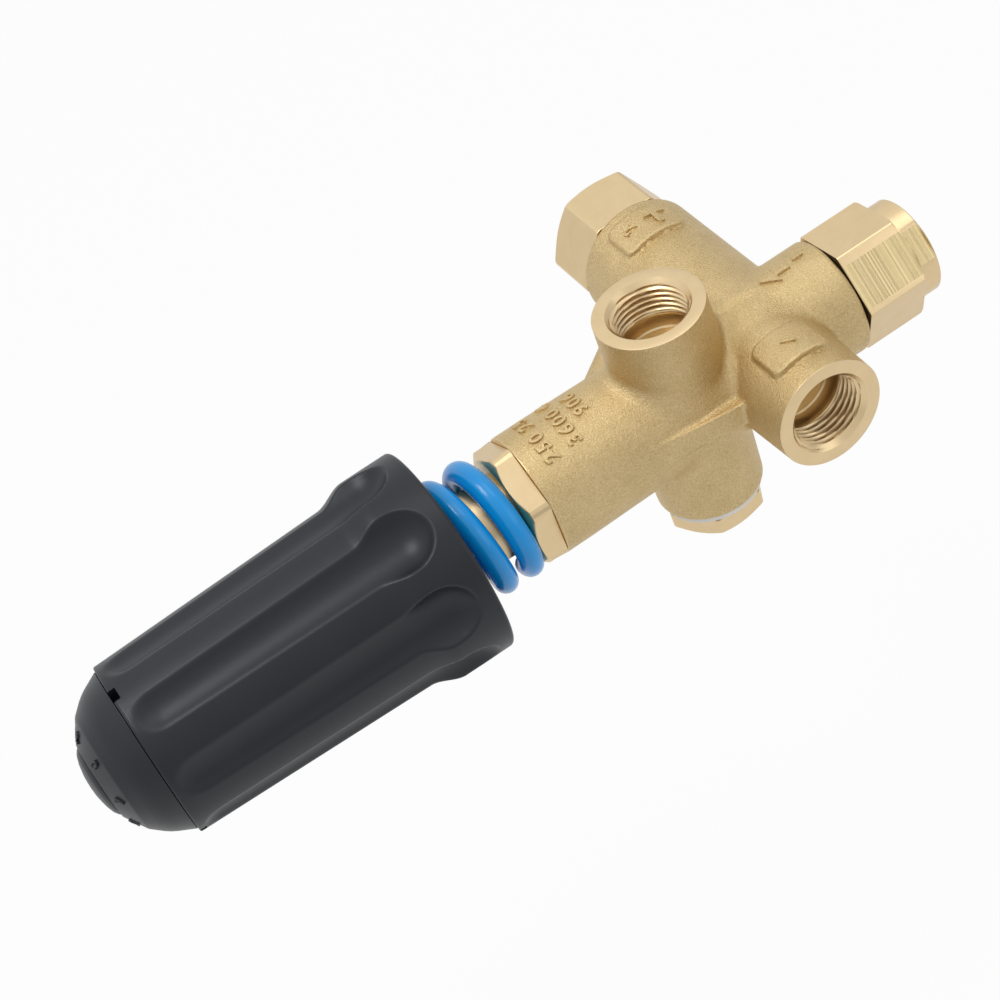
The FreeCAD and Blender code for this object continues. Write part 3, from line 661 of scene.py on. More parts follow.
@dataclass
class Skin:
    """Surface where a distance field is zero, on a cubic grid."""

    distance: Callable[[np.ndarray], np.ndarray]
    low: tuple[float, float, float]
    high: tuple[float, float, float]
    step: float

    def shell(self, finish: int = 0) -> Shell:
        """Surface nets: a point in each cell that the surface crosses.

        The point is the mean of the crossings on the cell's twelve edges,
        found by linear interpolation. Each grid edge that crosses gives a quad
        between its four cells. The points then step onto the field's zero
        along its slope three times.
        """
        axes = [np.arange(a, b + self.step, self.step)
                for a, b in zip(self.low, self.high)]
        shape = tuple(len(a) for a in axes)
        value = np.empty(shape, np.float32)
        yz = np.stack(np.meshgrid(axes[1], axes[2], indexing="ij"),
                      -1).reshape(-1, 2)
        for i, x in enumerate(axes[0]):
            slab = np.column_stack([np.full(len(yz), x), yz])
            value[i] = self.distance(slab).reshape(shape[1:])
        inside = value < 0
        cells = tuple(n - 1 for n in shape)
        total = np.zeros(cells + (3,), np.float32)
        count = np.zeros(cells, np.float32)
        for axis in range(3):
            first = [slice(None)] * 3
            second = [slice(None)] * 3
            first[axis], second[axis] = slice(0, -1), slice(1, None)
            va, vb = value[tuple(first)], value[tuple(second)]
            cross = inside[tuple(first)] != inside[tuple(second)]
            share = np.where(cross, va / np.where(cross, va - vb, 1), 0)
            others = [k for k in range(3) if k != axis]
            for da in (0, 1):
                for db in (0, 1):
                    cut = [slice(None)] * 3
                    cut[others[0]] = slice(da, da + cells[others[0]])
                    cut[others[1]] = slice(db, db + cells[others[1]])
                    hit = cross[tuple(cut)]
                    count += hit
                    total[..., axis] += share[tuple(cut)] * hit
                    total[..., others[0]] += da * hit
                    total[..., others[1]] += db * hit
        active = count > 0
        number = np.full(cells, -1, np.int64)
        number[active] = np.arange(active.sum())
        index = np.argwhere(active)
        points = (np.array(self.low) + self.step
                  * (index + total[active] / count[active][:, None]))
        quads = []
        for axis in range(3):
            first = [slice(None)] * 3
            second = [slice(None)] * 3
            first[axis], second[axis] = slice(0, -1), slice(1, None)
            cross = inside[tuple(first)] != inside[tuple(second)]
            sense = inside[tuple(first)]
            u, v = (axis + 1) % 3, (axis + 2) % 3
            where = np.argwhere(cross)
            ok = ((where[:, u] > 0) & (where[:, v] > 0)
                  & (where[:, u] < cells[u]) & (where[:, v] < cells[v]))
            where = where[ok]
            step_u, step_v = np.zeros(3, int), np.zeros(3, int)
            step_u[u], step_v[v] = 1, 1
            corner = [where - step_u - step_v, where - step_v, where,
                      where - step_u]
            face = np.stack([number[tuple(c.T)] for c in corner], -1)
            flip = ~sense[tuple(where.T)]
            face[flip] = face[flip][:, ::-1]
            quads.append(face)
        for _ in range(3):
            points = self.pulled(points)
        faces = np.concatenate(quads)
        return Shell(points, faces, np.full(len(faces), finish, np.int32))

    def pulled(self, points: np.ndarray) -> np.ndarray:
        """One step onto the surface: p - f g / |g|^2, g by differences."""
        small = 0.02
        value = self.distance(points)
        slope = np.stack([
            (self.distance(points + small * np.eye(3)[k])
             - self.distance(points - small * np.eye(3)[k])) / (2 * small)
            for k in range(3)], -1)
        size = np.maximum((slope ** 2).sum(1), 0.25)
        step = np.clip(value / size, -self.step, self.step)
        return points - slope * step[:, None]


@dataclass
class ForgedBody:
    """The blasted brass forging with its machined faces and threads."""

    barrel_end: float = -36.65
    neck_end: float = 38.25
    bypass_face: float = 24.26
    plug_face: float = 24.57
    front_face: float = 27.2
    rear_face: float = 42.7
    rear_r: float = 13.7
    step: float = 0.45

    def boss_radius(self, along: np.ndarray | float, face: float,
                    at_face: float, at_root: float) -> np.ndarray:
        """Drafted boss: the radius grows from the face to 10 mm off the axis."""
        share = np.clip((face - np.asarray(along, float)) / (face - 10), 0, 1)
        return at_face + (at_root - at_face) * share

    def field(self, p: np.ndarray) -> np.ndarray:
        """Distance field of the forging, built up boss by boss."""
        x, y, z = p.T
        draft = 13.43 - 0.30 * np.clip((x + 30) / 20, 0, 1)
        body = capped_cylinder(p, 0, (0, 0), draft, self.barrel_end - 3, 9)
        run = capped_cylinder(p, 0, (0, 0), 12.85, -4, self.neck_end, 0.9)
        body = welded(body, run, 1.0)
        rear = capped_cylinder(p, 1, (CROSS_X, 0), self.rear_r, 0,
                               self.rear_face, 1.0)
        rib = capsule(p, (-17.5, 8.3, 0), (8.0, 28.5, 0), 4.1)
        body = welded(body, rear, 1.1)
        body = welded(body, rib, 2.6)
        front = capped_cylinder(
            p, 1, (CROSS_X, 0),
            self.boss_radius(-y, self.front_face, 11.63, 12.25),
            -self.front_face - 3, 0)
        body = welded(body, front, 1.6)
        edge = -0.161 * (x + 14.0) - 0.987 * (y + 12.4)
        web = trimmed(edge, np.abs(z - 1.1) - 2.6, 0.3)
        web = np.maximum(web, np.maximum(-15.5 - x, x - CROSS_X))
        body = welded(body, np.maximum(web, y), 0.9)
        top = capped_cylinder(
            p, 2, (0, 0), self.boss_radius(z, self.bypass_face, 11.49, 11.8),
            0, self.bypass_face + 3)
        crease = np.clip((0.6 * x - y - 8.0) / 6.0, 0, 1)
        body = welded(body, top, 2.5 - 1.5 * crease)
        foot = capped_cylinder(
            p, 2, (0, 0), self.boss_radius(-z, self.plug_face, 11.35, 11.8),
            -self.plug_face - 3, 0)
        body = welded(body, foot, 1.5)
        for centre, half, rise in (((18.05, 34.0), (7.2, 5.0), self.rear_r),
                                   ((17.95, -17.5), (6.4, 4.9), 12.15)):
            body = welded(body, self.pad(p, centre, half, rise), 0.2)
        return body

    @staticmethod
    def pad(p: np.ndarray, centre: tuple[float, float],
            half: tuple[float, float], boss_r: float) -> np.ndarray:
        """Raised pad over a side boss: a rounded plan, its top on the boss.

        The plan is the box |(x, y) - centre| < half with 1.8 mm corners.
        """
        x, y, z = p.T
        qx = np.abs(x - centre[0]) - half[0] + 1.8
        qy = np.abs(y - centre[1]) - half[1] + 1.8
        plan = (np.hypot(np.maximum(qx, 0), np.maximum(qy, 0))
                + np.minimum(np.maximum(qx, qy), 0) - 1.8)
        top = np.hypot(x - CROSS_X, z) - boss_r - 1.0
        return np.maximum(trimmed(top, plan, 0.3), 7 - z)

    def height(self, base: np.ndarray, outward: np.ndarray) -> np.ndarray:
        """Distance from base points to the skin along unit directions.

        Steps inward from 40 mm by the field's value until it is zero.
        """
        far = np.full(len(base), 40.0)
        for _ in range(60):
            far -= self.field(base + outward * far[:, None])
        return far

    def cuts(self) -> list[tuple[Vector, Vector]]:
        """Planes of the machined faces, in millimetres."""
        return [(Vector((0, 0, self.bypass_face - 0.12)), Vector((0, 0, 1))),
                (Vector((0, 0, -self.plug_face + 0.12)), Vector((0, 0, -1))),
                (Vector((0, -self.front_face + 0.12, 0)), Vector((0, -1, 0))),
                (Vector((self.barrel_end + 0.12, 0, 0)), Vector((-1, 0, 0)))]

    def build(self, shop: Workshop) -> None:
        """Makes the forging, then its machined faces and raised arrows."""
        skin = Skin(self.field, (-38.5, -29.0, -26.5), (40.0, 44.0, 26.5),
                    self.step).shell()
        shop.piece("valve_body_forging", skin, [Spot.CAST], "housing",
                   ["valve_body"], sharp_deg=50, cuts=self.cuts())
        side = (CROSS_X, 0, 0)
        port = PipePort()
        wide = PipePort(hole_r=5.0)
        faces = Shell.joined([
            port.shell(self.bypass_face, 11.49).placed(Way.BYPASS),
            port.shell(self.plug_face, 11.35).placed(Way.PLUG),
            wide.shell(self.front_face, 11.63).placed(Way.SECOND_INLET, side),
            turned(softened([(self.barrel_end + 3, 10.0),
                             (self.barrel_end, 10.0),
                             (self.barrel_end, 13.40),
                             (self.barrel_end + 0.12, 13.43)], 0.1)),
        ])
        shop.piece("valve_body_faces", faces, [Spot.MACHINED], "housing",
                   sharp_deg=35)
        self.marks(shop)

    def round_the_run(self, at_x: float, at_deg: float, turn_deg: float
                      ) -> Callable[[np.ndarray], np.ndarray]:
        """Way to lay flat (u, v, rise) points round the run's skin.

        Args:
            at_x: place along the run of the flat origin.
            at_deg: its angle from +Y towards +Z.
            turn_deg: turn of the flat shape, 0 with u against the angle.

        Returns:
            Function from flat points to points on the skin.
        """
        c, s = math.cos(math.radians(turn_deg)), math.sin(
            math.radians(turn_deg))

        def lay(flat: np.ndarray) -> np.ndarray:
            u, v = c * flat[:, 0] - s * flat[:, 1], (s * flat[:, 0]
                                                     + c * flat[:, 1])
            a = math.radians(at_deg) - u / 13.2
            out = np.stack([np.zeros_like(a), np.cos(a), np.sin(a)], -1)
            base = np.zeros_like(out)
            base[:, 0] = at_x - v
            far = self.height(base, out)
            return base + out * (far + flat[:, 2])[:, None]

        return lay

    def on_the_pad(self, at_x: float, at_y: float, turn_deg: float
                   ) -> Callable[[np.ndarray], np.ndarray]:
        """Way to lay flat points on the skin straight from above."""
        c, s = math.cos(math.radians(turn_deg)), math.sin(
            math.radians(turn_deg))

        def lay(flat: np.ndarray) -> np.ndarray:
            base = np.stack([at_x + c * flat[:, 0] - s * flat[:, 1],
                             at_y + s * flat[:, 0] + c * flat[:, 1],
                             np.zeros(len(flat))], -1)
            up = np.zeros_like(base)
            up[:, 2] = 1.0
            far = self.height(base, up)
            base[:, 2] = far + flat[:, 2]
            return base

        return lay

    def marks(self, shop: Workshop) -> None:
        """Raised figures and flow arrows, each on the skin's own height."""
        rows = [("250 25", -31.0, 93.0), ("3600 4", -25.3, 91.0),
                ("906", -20.6, 86.0)]
        for k, (text, at_x, at_deg) in enumerate(rows):
            stamp(shop, "raised_figures_%d" % (k + 1), text, 4.2,
                  self.round_the_run(at_x, at_deg, 0.0), Spot.CAST,
                  spacing=1.25)
        stamp(shop, "raised_figure_neck", "1", 3.2,
              self.round_the_run(33.8, 85.0, 0.0), Spot.CAST)
        stamp(shop, "raised_figure_outlet", "2", 4.2,
              self.on_the_pad(14.7, 34.6, 100.0), Spot.CAST)
        stamp(shop, "raised_figure_front", "1", 4.2,
              self.on_the_pad(18.2, -17.6, 60.0), Spot.CAST)
        arrow(shop, "flow_arrow_neck", 7.0, 2.8,
              self.round_the_run(27.4, 88.0, 90.0))
        arrow(shop, "flow_arrow_outlet", 6.8, 2.5,
              self.on_the_pad(20.9, 34.6, 90.0))


def arrow(shop: Workshop, name: str, length: float, half: float,
          lay: Callable[[np.ndarray], np.ndarray]) -> None:
    """Raised arrow with a soft edge, laid on a surface.

    The flat outline is drawn inward in five rings: foot, wall, shoulder, top
    and spine, each with its own height.

    Args:
        shop: the workshop.
        name: object name.
        length: from tail to tip, in millimetres.
        half: half the width of its head.
        lay: function that lays flat points on the surface.
    """
    stem, neck = half * 0.30, length / 2 - 1.35 * half
    tip, tail = length / 2, -length / 2
    u = np.array([tail, neck, neck, tip, neck, neck, tail])
    v = np.array([-stem, -stem, -half, 0, half, stem, stem])
    t = np.linspace(0, 1, 7)[:-1][:, None]
    u = (u + t * (np.roll(u, -1) - u)).T.ravel()
    v = (v + t * (np.roll(v, -1) - v)).T.ravel()
    centre = length / 2 - 0.75 * half
    rings = [np.stack([centre + (u - centre) * (1 - (1 - share) * 0.4)
                       if share else np.clip(u, tail + 0.4, centre),
                       v * share, np.full_like(u, rise)], -1)
             for share, rise in ((1.0, -0.4), (1.0, 0.28), (0.9, 0.52),
                                 (0.6, 0.56), (0.0, 0.56))]
    grid = np.stack(rings, 1)
    points = lay(grid.reshape(-1, 3)).reshape(grid.shape)
    shop.piece(name, Shell.from_grid(points), [Spot.CAST], "housing",
               sharp_deg=40)


def stamp(shop: Workshop, name: str, text: str, size: float,
          lay: Callable[[np.ndarray], np.ndarray], spot: Spot,
          body: str = "housing", rise: float = 0.48,
          spacing: float = 1.0) -> None:
    """Raised figures, made from text and laid on a surface.

    Args:
        shop: the workshop.
        name: object name.
        text: figures to raise.
        size: height of the type, in millimetres.
        lay: function that lays flat points on the surface.
        spot: finish.
        body: body that they ride on.
        rise: how far they stand proud.
        spacing: room between the figures, as a share of the usual.
    """
    curve = bpy.data.curves.new(name, "FONT")
    curve.body = text
    curve.align_x, curve.align_y = "CENTER", "CENTER"
    curve.size = size
    curve.space_character = spacing
    curve.resolution_u = 4
    curve.extrude = 0.5
    curve.offset = 0.05
    curve.bevel_depth = 0.1
    curve.bevel_resolution = 1
    thing = bpy.data.objects.new(name, curve)
    bpy.context.scene.collection.objects.link(thing)
    graph = bpy.context.evaluated_depsgraph_get()
    mesh = bpy.data.meshes.new_from_object(thing.evaluated_get(graph))
    bpy.data.objects.remove(thing)
    bpy.data.curves.remove(curve)
    flat = np.empty(len(mesh.vertices) * 3)
    mesh.vertices.foreach_get("co", flat)
    flat = flat.reshape(-1, 3)
    flat[:, 2] += rise - flat[:, 2].max()
    mesh.vertices.foreach_set("co", lay(flat).ravel())
    mesh.name = name
    shop.finished(mesh, [spot], body, 30.0, 1e-3)


@dataclass
class GuideGland:
    """Hexagon gland with the sleeve that the spring sits round."""

    face: float = -36.70
    outer: float = -41.9
    sleeve_end: float = -50.0
    rod_bore: float = 4.05

    def build(self, shop: Workshop) -> None:
        """Hexagon with broad turned corners, then the sleeve and spigot."""
        hexagon = Hexagon(24.0, -self.face, -self.outer, 33.0, 13.62, 13.25,
                          9.9, 8.2, 11.6, 0.12).shell()
        mirrored = Shell(hexagon.points * np.array([-1.0, 1.0, 1.0]),
                         hexagon.quads[:, ::-1], hexagon.finish)
        sleeve = turned(softened([
            (self.sleeve_end + 6, self.rod_bore),
            (self.sleeve_end, self.rod_bore), (self.sleeve_end, 7.4),
            (self.sleeve_end + 0.8, 8.2), (self.outer + 0.5, 8.2)], 0.15), 96)
        spigot = turned(softened([
            (self.face, 9.95), (-27.6, 9.95), (-27.05, 9.4), (-27.05, 6.5),
            (-31.3, 6.5), (-31.3, self.rod_bore),
            (self.sleeve_end + 6, self.rod_bore)], 0.1), 96)
        shop.piece("guide_gland_dressed",
                   Shell.joined([mirrored, sleeve, spigot]), [Spot.MACHINED],
                   "housing", ["guide_gland"], sharp_deg=9)


@dataclass
class ScrewedFittings:
    """Inlet fitting with its collar and the plain outlet fitting."""

    inlet_start: float = 38.85
    inlet_hex_end: float = 52.8
    inlet_end: float = 57.67
    collar_r: float = 10.7
    outlet_start: float = 42.75
    outlet_end: float = 57.6

    def collar(self) -> Shell:
        """Collar with two spanner flats, as a grid of angle and profile.

        Where the flats are, the radius is the smaller of the collar's and
        9.9 / |cos(angle from the flat)|, for the middle points of the profile.
        """
        a = np.linspace(0, 2 * math.pi, 192, endpoint=False)[:, None]
        x = np.array([self.inlet_hex_end - 0.2, self.inlet_hex_end + 0.9,
                      self.inlet_hex_end + 1.0, self.inlet_end - 0.45,
                      self.inlet_end - 0.3, self.inlet_end])[None, :]
        r = np.full((len(a), x.shape[1]), self.collar_r)
        flat = 9.85 / np.maximum(
            np.abs(np.cos(a - math.radians(52.2 + 90))), 1e-3)
        r[:, 2:5] = np.minimum(r[:, 2:5], flat)
        r[:, 5] = self.collar_r - 0.3
        shell = Shell.from_grid(np.stack(
            [np.broadcast_to(x, r.shape), r * np.cos(a), r * np.sin(a)], -1))
        toward = np.degrees(a[:, 0]) - 142.2
        shell.finish = np.repeat(np.abs(toward) < 21, x.shape[1] - 1).astype(
            np.int32)
        return shell

    def build(self, shop: Workshop) -> None:
        """Makes both fittings with their threads."""
        spigot = turned(softened([(29.4, 6.0), (29.4, 9.35), (30.0, 9.95),
                                  (38.95, 9.95)], 0.1), 96)
        inlet = Shell.joined([
            Hexagon(23.0, self.inlet_start, self.inlet_hex_end, 52.2, 13.2,
                    13.2, 9.9, 10.6, 12.6, 0.12, 1).shell(),
            self.collar(), spigot,
            PipePort(hole_r=6.0, depth=11.9).shell(
                self.inlet_end, self.collar_r - 0.3, through=True),
            turned(np.array([(42.0, 6.0), (29.4, 6.0)]), 96)])
        shop.piece("inlet_fitting_dressed", inlet,
                   [Spot.MACHINED, Spot.MILLED], "housing",
                   ["inlet_fitting"], sharp_deg=12)
        side = (CROSS_X, 0, 0)
        spigot = turned(softened([(33.6, 5.0), (33.6, 9.35), (34.2, 9.95),
                                  (self.outlet_start + 0.05, 9.95)], 0.1), 96)
        outlet = Shell.joined([
            Hexagon(24.0, self.outlet_start, self.outlet_end, 0.0, 13.62,
                    13.62, 9.9, 8.8, 11.5, 0.16).shell(), spigot,
            PipePort(hole_r=5.0, depth=11.9).shell(
                self.outlet_end, 9.4, through=True, outer_edge=0.01),
            turned(np.array([(40.2, 5.0), (33.6, 5.0)]), 96),
        ]).placed(Way.OUTLET, side)
        shop.piece("outlet_fitting_dressed", outlet, [Spot.MACHINED],
                   "housing", ["outlet_fitting"], sharp_deg=9)


@dataclass
class PlugSet:
    """Hexagon plug and its nylon washer."""

    head: float = 26.3
    end: float = 31.0

    def build(self, shop: Workshop) -> None:
        """Plug with a chamfered head, and the washer above it."""
        plug = Shell.joined([
            Hexagon(19.0, self.head, self.end, 26.0, 10.82, 10.82, 8.2, 0.0,
                    9.1, 0.14).shell(),
            turned(softened([(13.4, 0.0), (13.4, 7.48), (14.2, 8.28),
                             (24.0, 8.28), (self.head + 0.1, 8.28)], 0.2), 96),
        ]).placed(Way.PLUG)
        shop.piece("bottom_plug_dressed", plug, [Spot.MACHINED], "housing",
                   ["bottom_plug"], sharp_deg=9)
        washer = turned(softened([(24.66, 8.5), (24.66, 10.7), (26.24, 10.7),
                                  (26.24, 8.5), (24.66, 8.5)], 0.22), 128)
        shop.piece("plug_washer_dressed", washer.placed(Way.PLUG),
                   [Spot.NYLON], "housing", ["plug_washer"], sharp_deg=40)


@dataclass
class AdjustingSpring:
    """Closed and ground compression spring, painted."""

    mean_r: float = 11.4
    wire_r: float = 2.5
    start: float = -92.0
    end: float = -41.9
    turns: float = 6.76
    dead: float = 0.5
    tip_deg: float = 244.6

    def build(self, shop: Workshop) -> None:
        """Tube along a helix whose pitch closes up at both ends.

        The centre line is (x(t), R cos a, R sin a) with a = 2 pi t + phase.
        x(t) rises by one wire a turn over the closed part at each end and
        evenly between them, averaged over 0.6 of a turn. The section is flat
        where the ends are ground: x is held between start and end.
        """
        low = self.start + self.wire_r * 0.55
        high = self.end - self.wire_r * 0.55
        closed = 2.02 * self.wire_r
        pitch = ((high - low - 2 * self.dead * closed)
                 / (self.turns - 2 * self.dead))

        def rise(t: np.ndarray) -> np.ndarray:
            """Distance along the axis before averaging."""
            t = np.clip(t, 0, self.turns)
            return np.where(t < self.dead, low + closed * t, np.where(
                t > self.turns - self.dead, high - closed * (self.turns - t),
                low + closed * self.dead + pitch * (t - self.dead)))

        t = np.linspace(0, self.turns, int(self.turns * 72))
        x = sum(rise(t + d) for d in (-0.3, -0.15, 0, 0.15, 0.3)) / 5
        a = 2 * math.pi * (t - self.turns) + math.radians(self.tip_deg)
        line = np.stack([x, self.mean_r * np.cos(a),
                         self.mean_r * np.sin(a)], -1)
        along = np.gradient(line, axis=0)
        along /= np.linalg.norm(along, axis=1, keepdims=True)
        out = np.stack([np.zeros_like(a), np.cos(a), np.sin(a)], -1)
        side = np.cross(along, out)
        w = np.linspace(0, 2 * math.pi, 28, endpoint=False)
        size = np.full(len(t), self.wire_r)
        grid = (line[:, None] + size[:, None, None]
                * (np.cos(w)[None, :, None] * out[:, None]
                   + np.sin(w)[None, :, None] * side[:, None]))
        grid = np.concatenate([line[:1, None].repeat(28, 1), grid,
                               line[-1:, None].repeat(28, 1)])
        grid[..., 0] = np.clip(grid[..., 0], self.start, self.end)
        shell = Shell.from_grid(grid, wrap=False, wrap_second=True)
        spring = shop.piece("main_spring_painted", shell, [Spot.PAINT],
                            "housing", ["main_spring"], sharp_deg=42)
        shop.squeeze(spring, "knob_advance", 0)


@dataclass
class AdjustingKnob:
    """Fluted knob and its domed cap."""

    rim: float = -55.5
    seam: float = -125.4
    collar_r: float = 22.38
    grip_rim_r: float = 20.15
    grip_seam_r: float = 18.68
    step: tuple[float, float] = (-73.6, -66.4)
    rim_edge: float = 0.8
    flutes: int = 8
    flute_phase: float = 30.0
    cutter_r: float = 8.3
    cutter_start: float = -66.0
    cutter_end: float = -119.5
    cutter_out: tuple[float, float] = (6.75, 7.2)
    slot_phase: float = 97.0
    slot_half: tuple[float, float] = (1.5, 1.5)
    pocket_r: float = 15.6
    cap: tuple[tuple[float, float], ...] = (
        (-138.05, 0.0), (-137.9, 2.5), (-137.45, 4.9), (-136.9, 6.5),
        (-136.2, 7.5), (-135.75, 7.62), (-135.75, 7.9), (-136.0, 8.1),
        (-133.35, 12.55), (-133.1, 12.85), (-132.0, 13.85), (-131.0, 14.75),
        (-130.0, 15.5), (-129.0, 16.1), (-128.0, 16.6), (-127.0, 17.1),
        (-126.0, 17.6), (-125.52, 17.85), (-125.5, 15.5), (-122.4, 15.5))

    def outside(self, x: np.ndarray) -> np.ndarray:
        """Radius of the knob before its flutes: collar, step, taper, edges."""
        low, high = self.step
        share = np.clip((low - x) / (low - self.seam), 0, 1)
        grip = self.grip_rim_r + (self.grip_seam_r - self.grip_rim_r) * share
        step = np.clip((x - low) / (high - low), 0, 1)
        step = step * step * (3 - 2 * step)
        r = grip + (self.collar_r - grip) * step
        e = self.rim_edge
        rim = np.clip((x - self.rim + e) / e, 0, 1)
        return r - e * (1 - np.sqrt(np.maximum(1 - rim ** 2, 0)))

    def slotted(self, x: np.ndarray, a: np.ndarray, r: np.ndarray
                ) -> np.ndarray:
        """Radius with three snap slots sunk to the pocket at the seam."""
        b = (np.degrees(a) - self.slot_phase + 60) % 120 - 60
        hit = ((np.abs(np.radians(b)) * self.grip_seam_r < self.slot_half[0])
               & (x < self.seam + self.slot_half[1]))
        return np.where(hit, self.pocket_r + 0.3, r)

    def fluted(self, x: np.ndarray, a: np.ndarray) -> np.ndarray:
        """Radius with the flutes: a soft minimum with the cutter's radius.

        The cutter is a ball-ended cylinder of radius c at height h from the
        axis. On a ray at angle b from its middle the near side is
        h cos b - sqrt(c'^2 - h^2 sin^2 b), with c' smaller on the ball.
        """
        base = self.outside(x)
        spread = 2 * math.pi / self.flutes
        b = (a - math.radians(self.flute_phase) + spread / 2) % spread
        b = b - spread / 2
        share = np.clip((self.cutter_start - x)
                        / (self.cutter_start - self.cutter_end), 0, 1)
        first = self.grip_rim_r + self.cutter_out[0]
        last = self.grip_seam_r + self.cutter_out[1]
        height = first + (last - first) * share
        ball = np.maximum(np.maximum(x - self.cutter_start,
                                     self.cutter_end - x), 0)
        reach = np.maximum(self.cutter_r ** 2 - ball ** 2, 0)
        inner = reach - (height * np.sin(b)) ** 2
        cut = np.where(inner > 0,
                       height * np.cos(b) - np.sqrt(np.maximum(inner, 0)),
                       60.0)
        soft = 0.5
        gap = np.clip(0.5 + 0.5 * (cut - base) / soft, 0, 1)
        near = cut * (1 - gap) + base * gap - soft * gap * (1 - gap)
        return np.where(cut > 50, base, near)

    def build(self, shop: Workshop) -> None:
        """Makes the knob and the cap."""
        edge = math.degrees(self.slot_half[0] / self.grip_seam_r)
        beside = [self.slot_phase + 120 * k + s * (edge + d)
                  for k in range(3) for s in (-1, 1) for d in (-0.03, 0.03)]
        a = np.sort(np.concatenate([
            np.linspace(0, 2 * math.pi, 480, endpoint=False),
            np.radians(np.array(beside) % 360)]))[:, None]
        e, slot = self.rim_edge, self.seam + self.slot_half[1]
        x = np.concatenate([
            [self.seam + 0.25, slot - 0.6, slot - 0.02, slot + 0.02],
            np.linspace(slot + 0.7, -74.0, 60),
            np.linspace(-73.6, self.rim - e - 0.1, 64),
            self.rim - e + e * np.sin(np.linspace(0, 1, 7) * math.pi / 2)])
        x = x[None, :]
        skin = self.slotted(x, a, self.fluted(x, a))
        head = [(self.seam + 4.0, self.pocket_r), (self.seam, self.pocket_r)]
        lip = skin[:, :1] - 0.2
        one = np.ones_like(a)
        tail = [(self.rim, 20.4), (self.rim - 0.5, 19.9), (-66.0, 16.5),
                (-98.7, 16.2), (-99.6, 15.3), (-99.6, 8.0)]
        xs = np.hstack([one * h for h, _ in head] + [one * self.seam,
                       np.broadcast_to(x, skin.shape)]
                       + [one * h for h, _ in tail])
        rs = np.hstack([one * r for _, r in head] + [lip, skin]
                       + [one * r for _, r in tail])
        grid = np.stack([xs, rs * np.cos(a), rs * np.sin(a)], -1)
        shop.piece("knob_dressed", Shell.from_grid(grid), [Spot.KNOB],
                   "knob_group", ["knob"], sharp_deg=55)
        hub = turned(np.array([(-99.6, 8.0), (-111.0, 8.0), (-111.0, 15.6),
                               (self.seam + 4.0, 15.6)]), 96)
        shop.piece("knob_hub_dressed", hub, [Spot.KNOB], "knob_group",
                   sharp_deg=30)
        cap = turned(softened(self.cap, 0.3, 3), 192)
        shop.piece("end_cap_dressed", cap, [Spot.KNOB], "knob_group",
                   ["end_cap"], sharp_deg=24)
        for k in range(8):
            stamp(shop, "cap_figure_%d" % (k + 1), str(k + 1), 2.9,
                  self.on_the_cone(30.0 + 45.0 * k), Spot.KNOB, "knob_group",
                  0.4)

    def on_the_cone(self, at_deg: float) -> Callable[[np.ndarray],
                                                     np.ndarray]:
        """Way to lay flat points on the cone between the cap's two edges."""
        inner, outer = np.array(self.cap[7]), np.array(self.cap[8])
        slope = (outer - inner) / np.linalg.norm(outer - inner)
        normal = np.array([-slope[1], slope[0]])
        middle = (inner + outer) / 2

        def lay(flat: np.ndarray) -> np.ndarray:
            at = (middle + flat[:, 1:2] * slope + flat[:, 2:3] * normal)
            a = math.radians(at_deg) + flat[:, 0] / middle[1]
            return np.stack([at[:, 0], at[:, 1] * np.cos(a),
                             at[:, 1] * np.sin(a)], -1)

        return lay


@dataclass(frozen=True)
class Lamp:
    """An area lamp: name, place and target in metres, size, power."""

    name: str
    place: tuple[float, float, float]
    target: tuple[float, float, float]
    size: float
    power: float


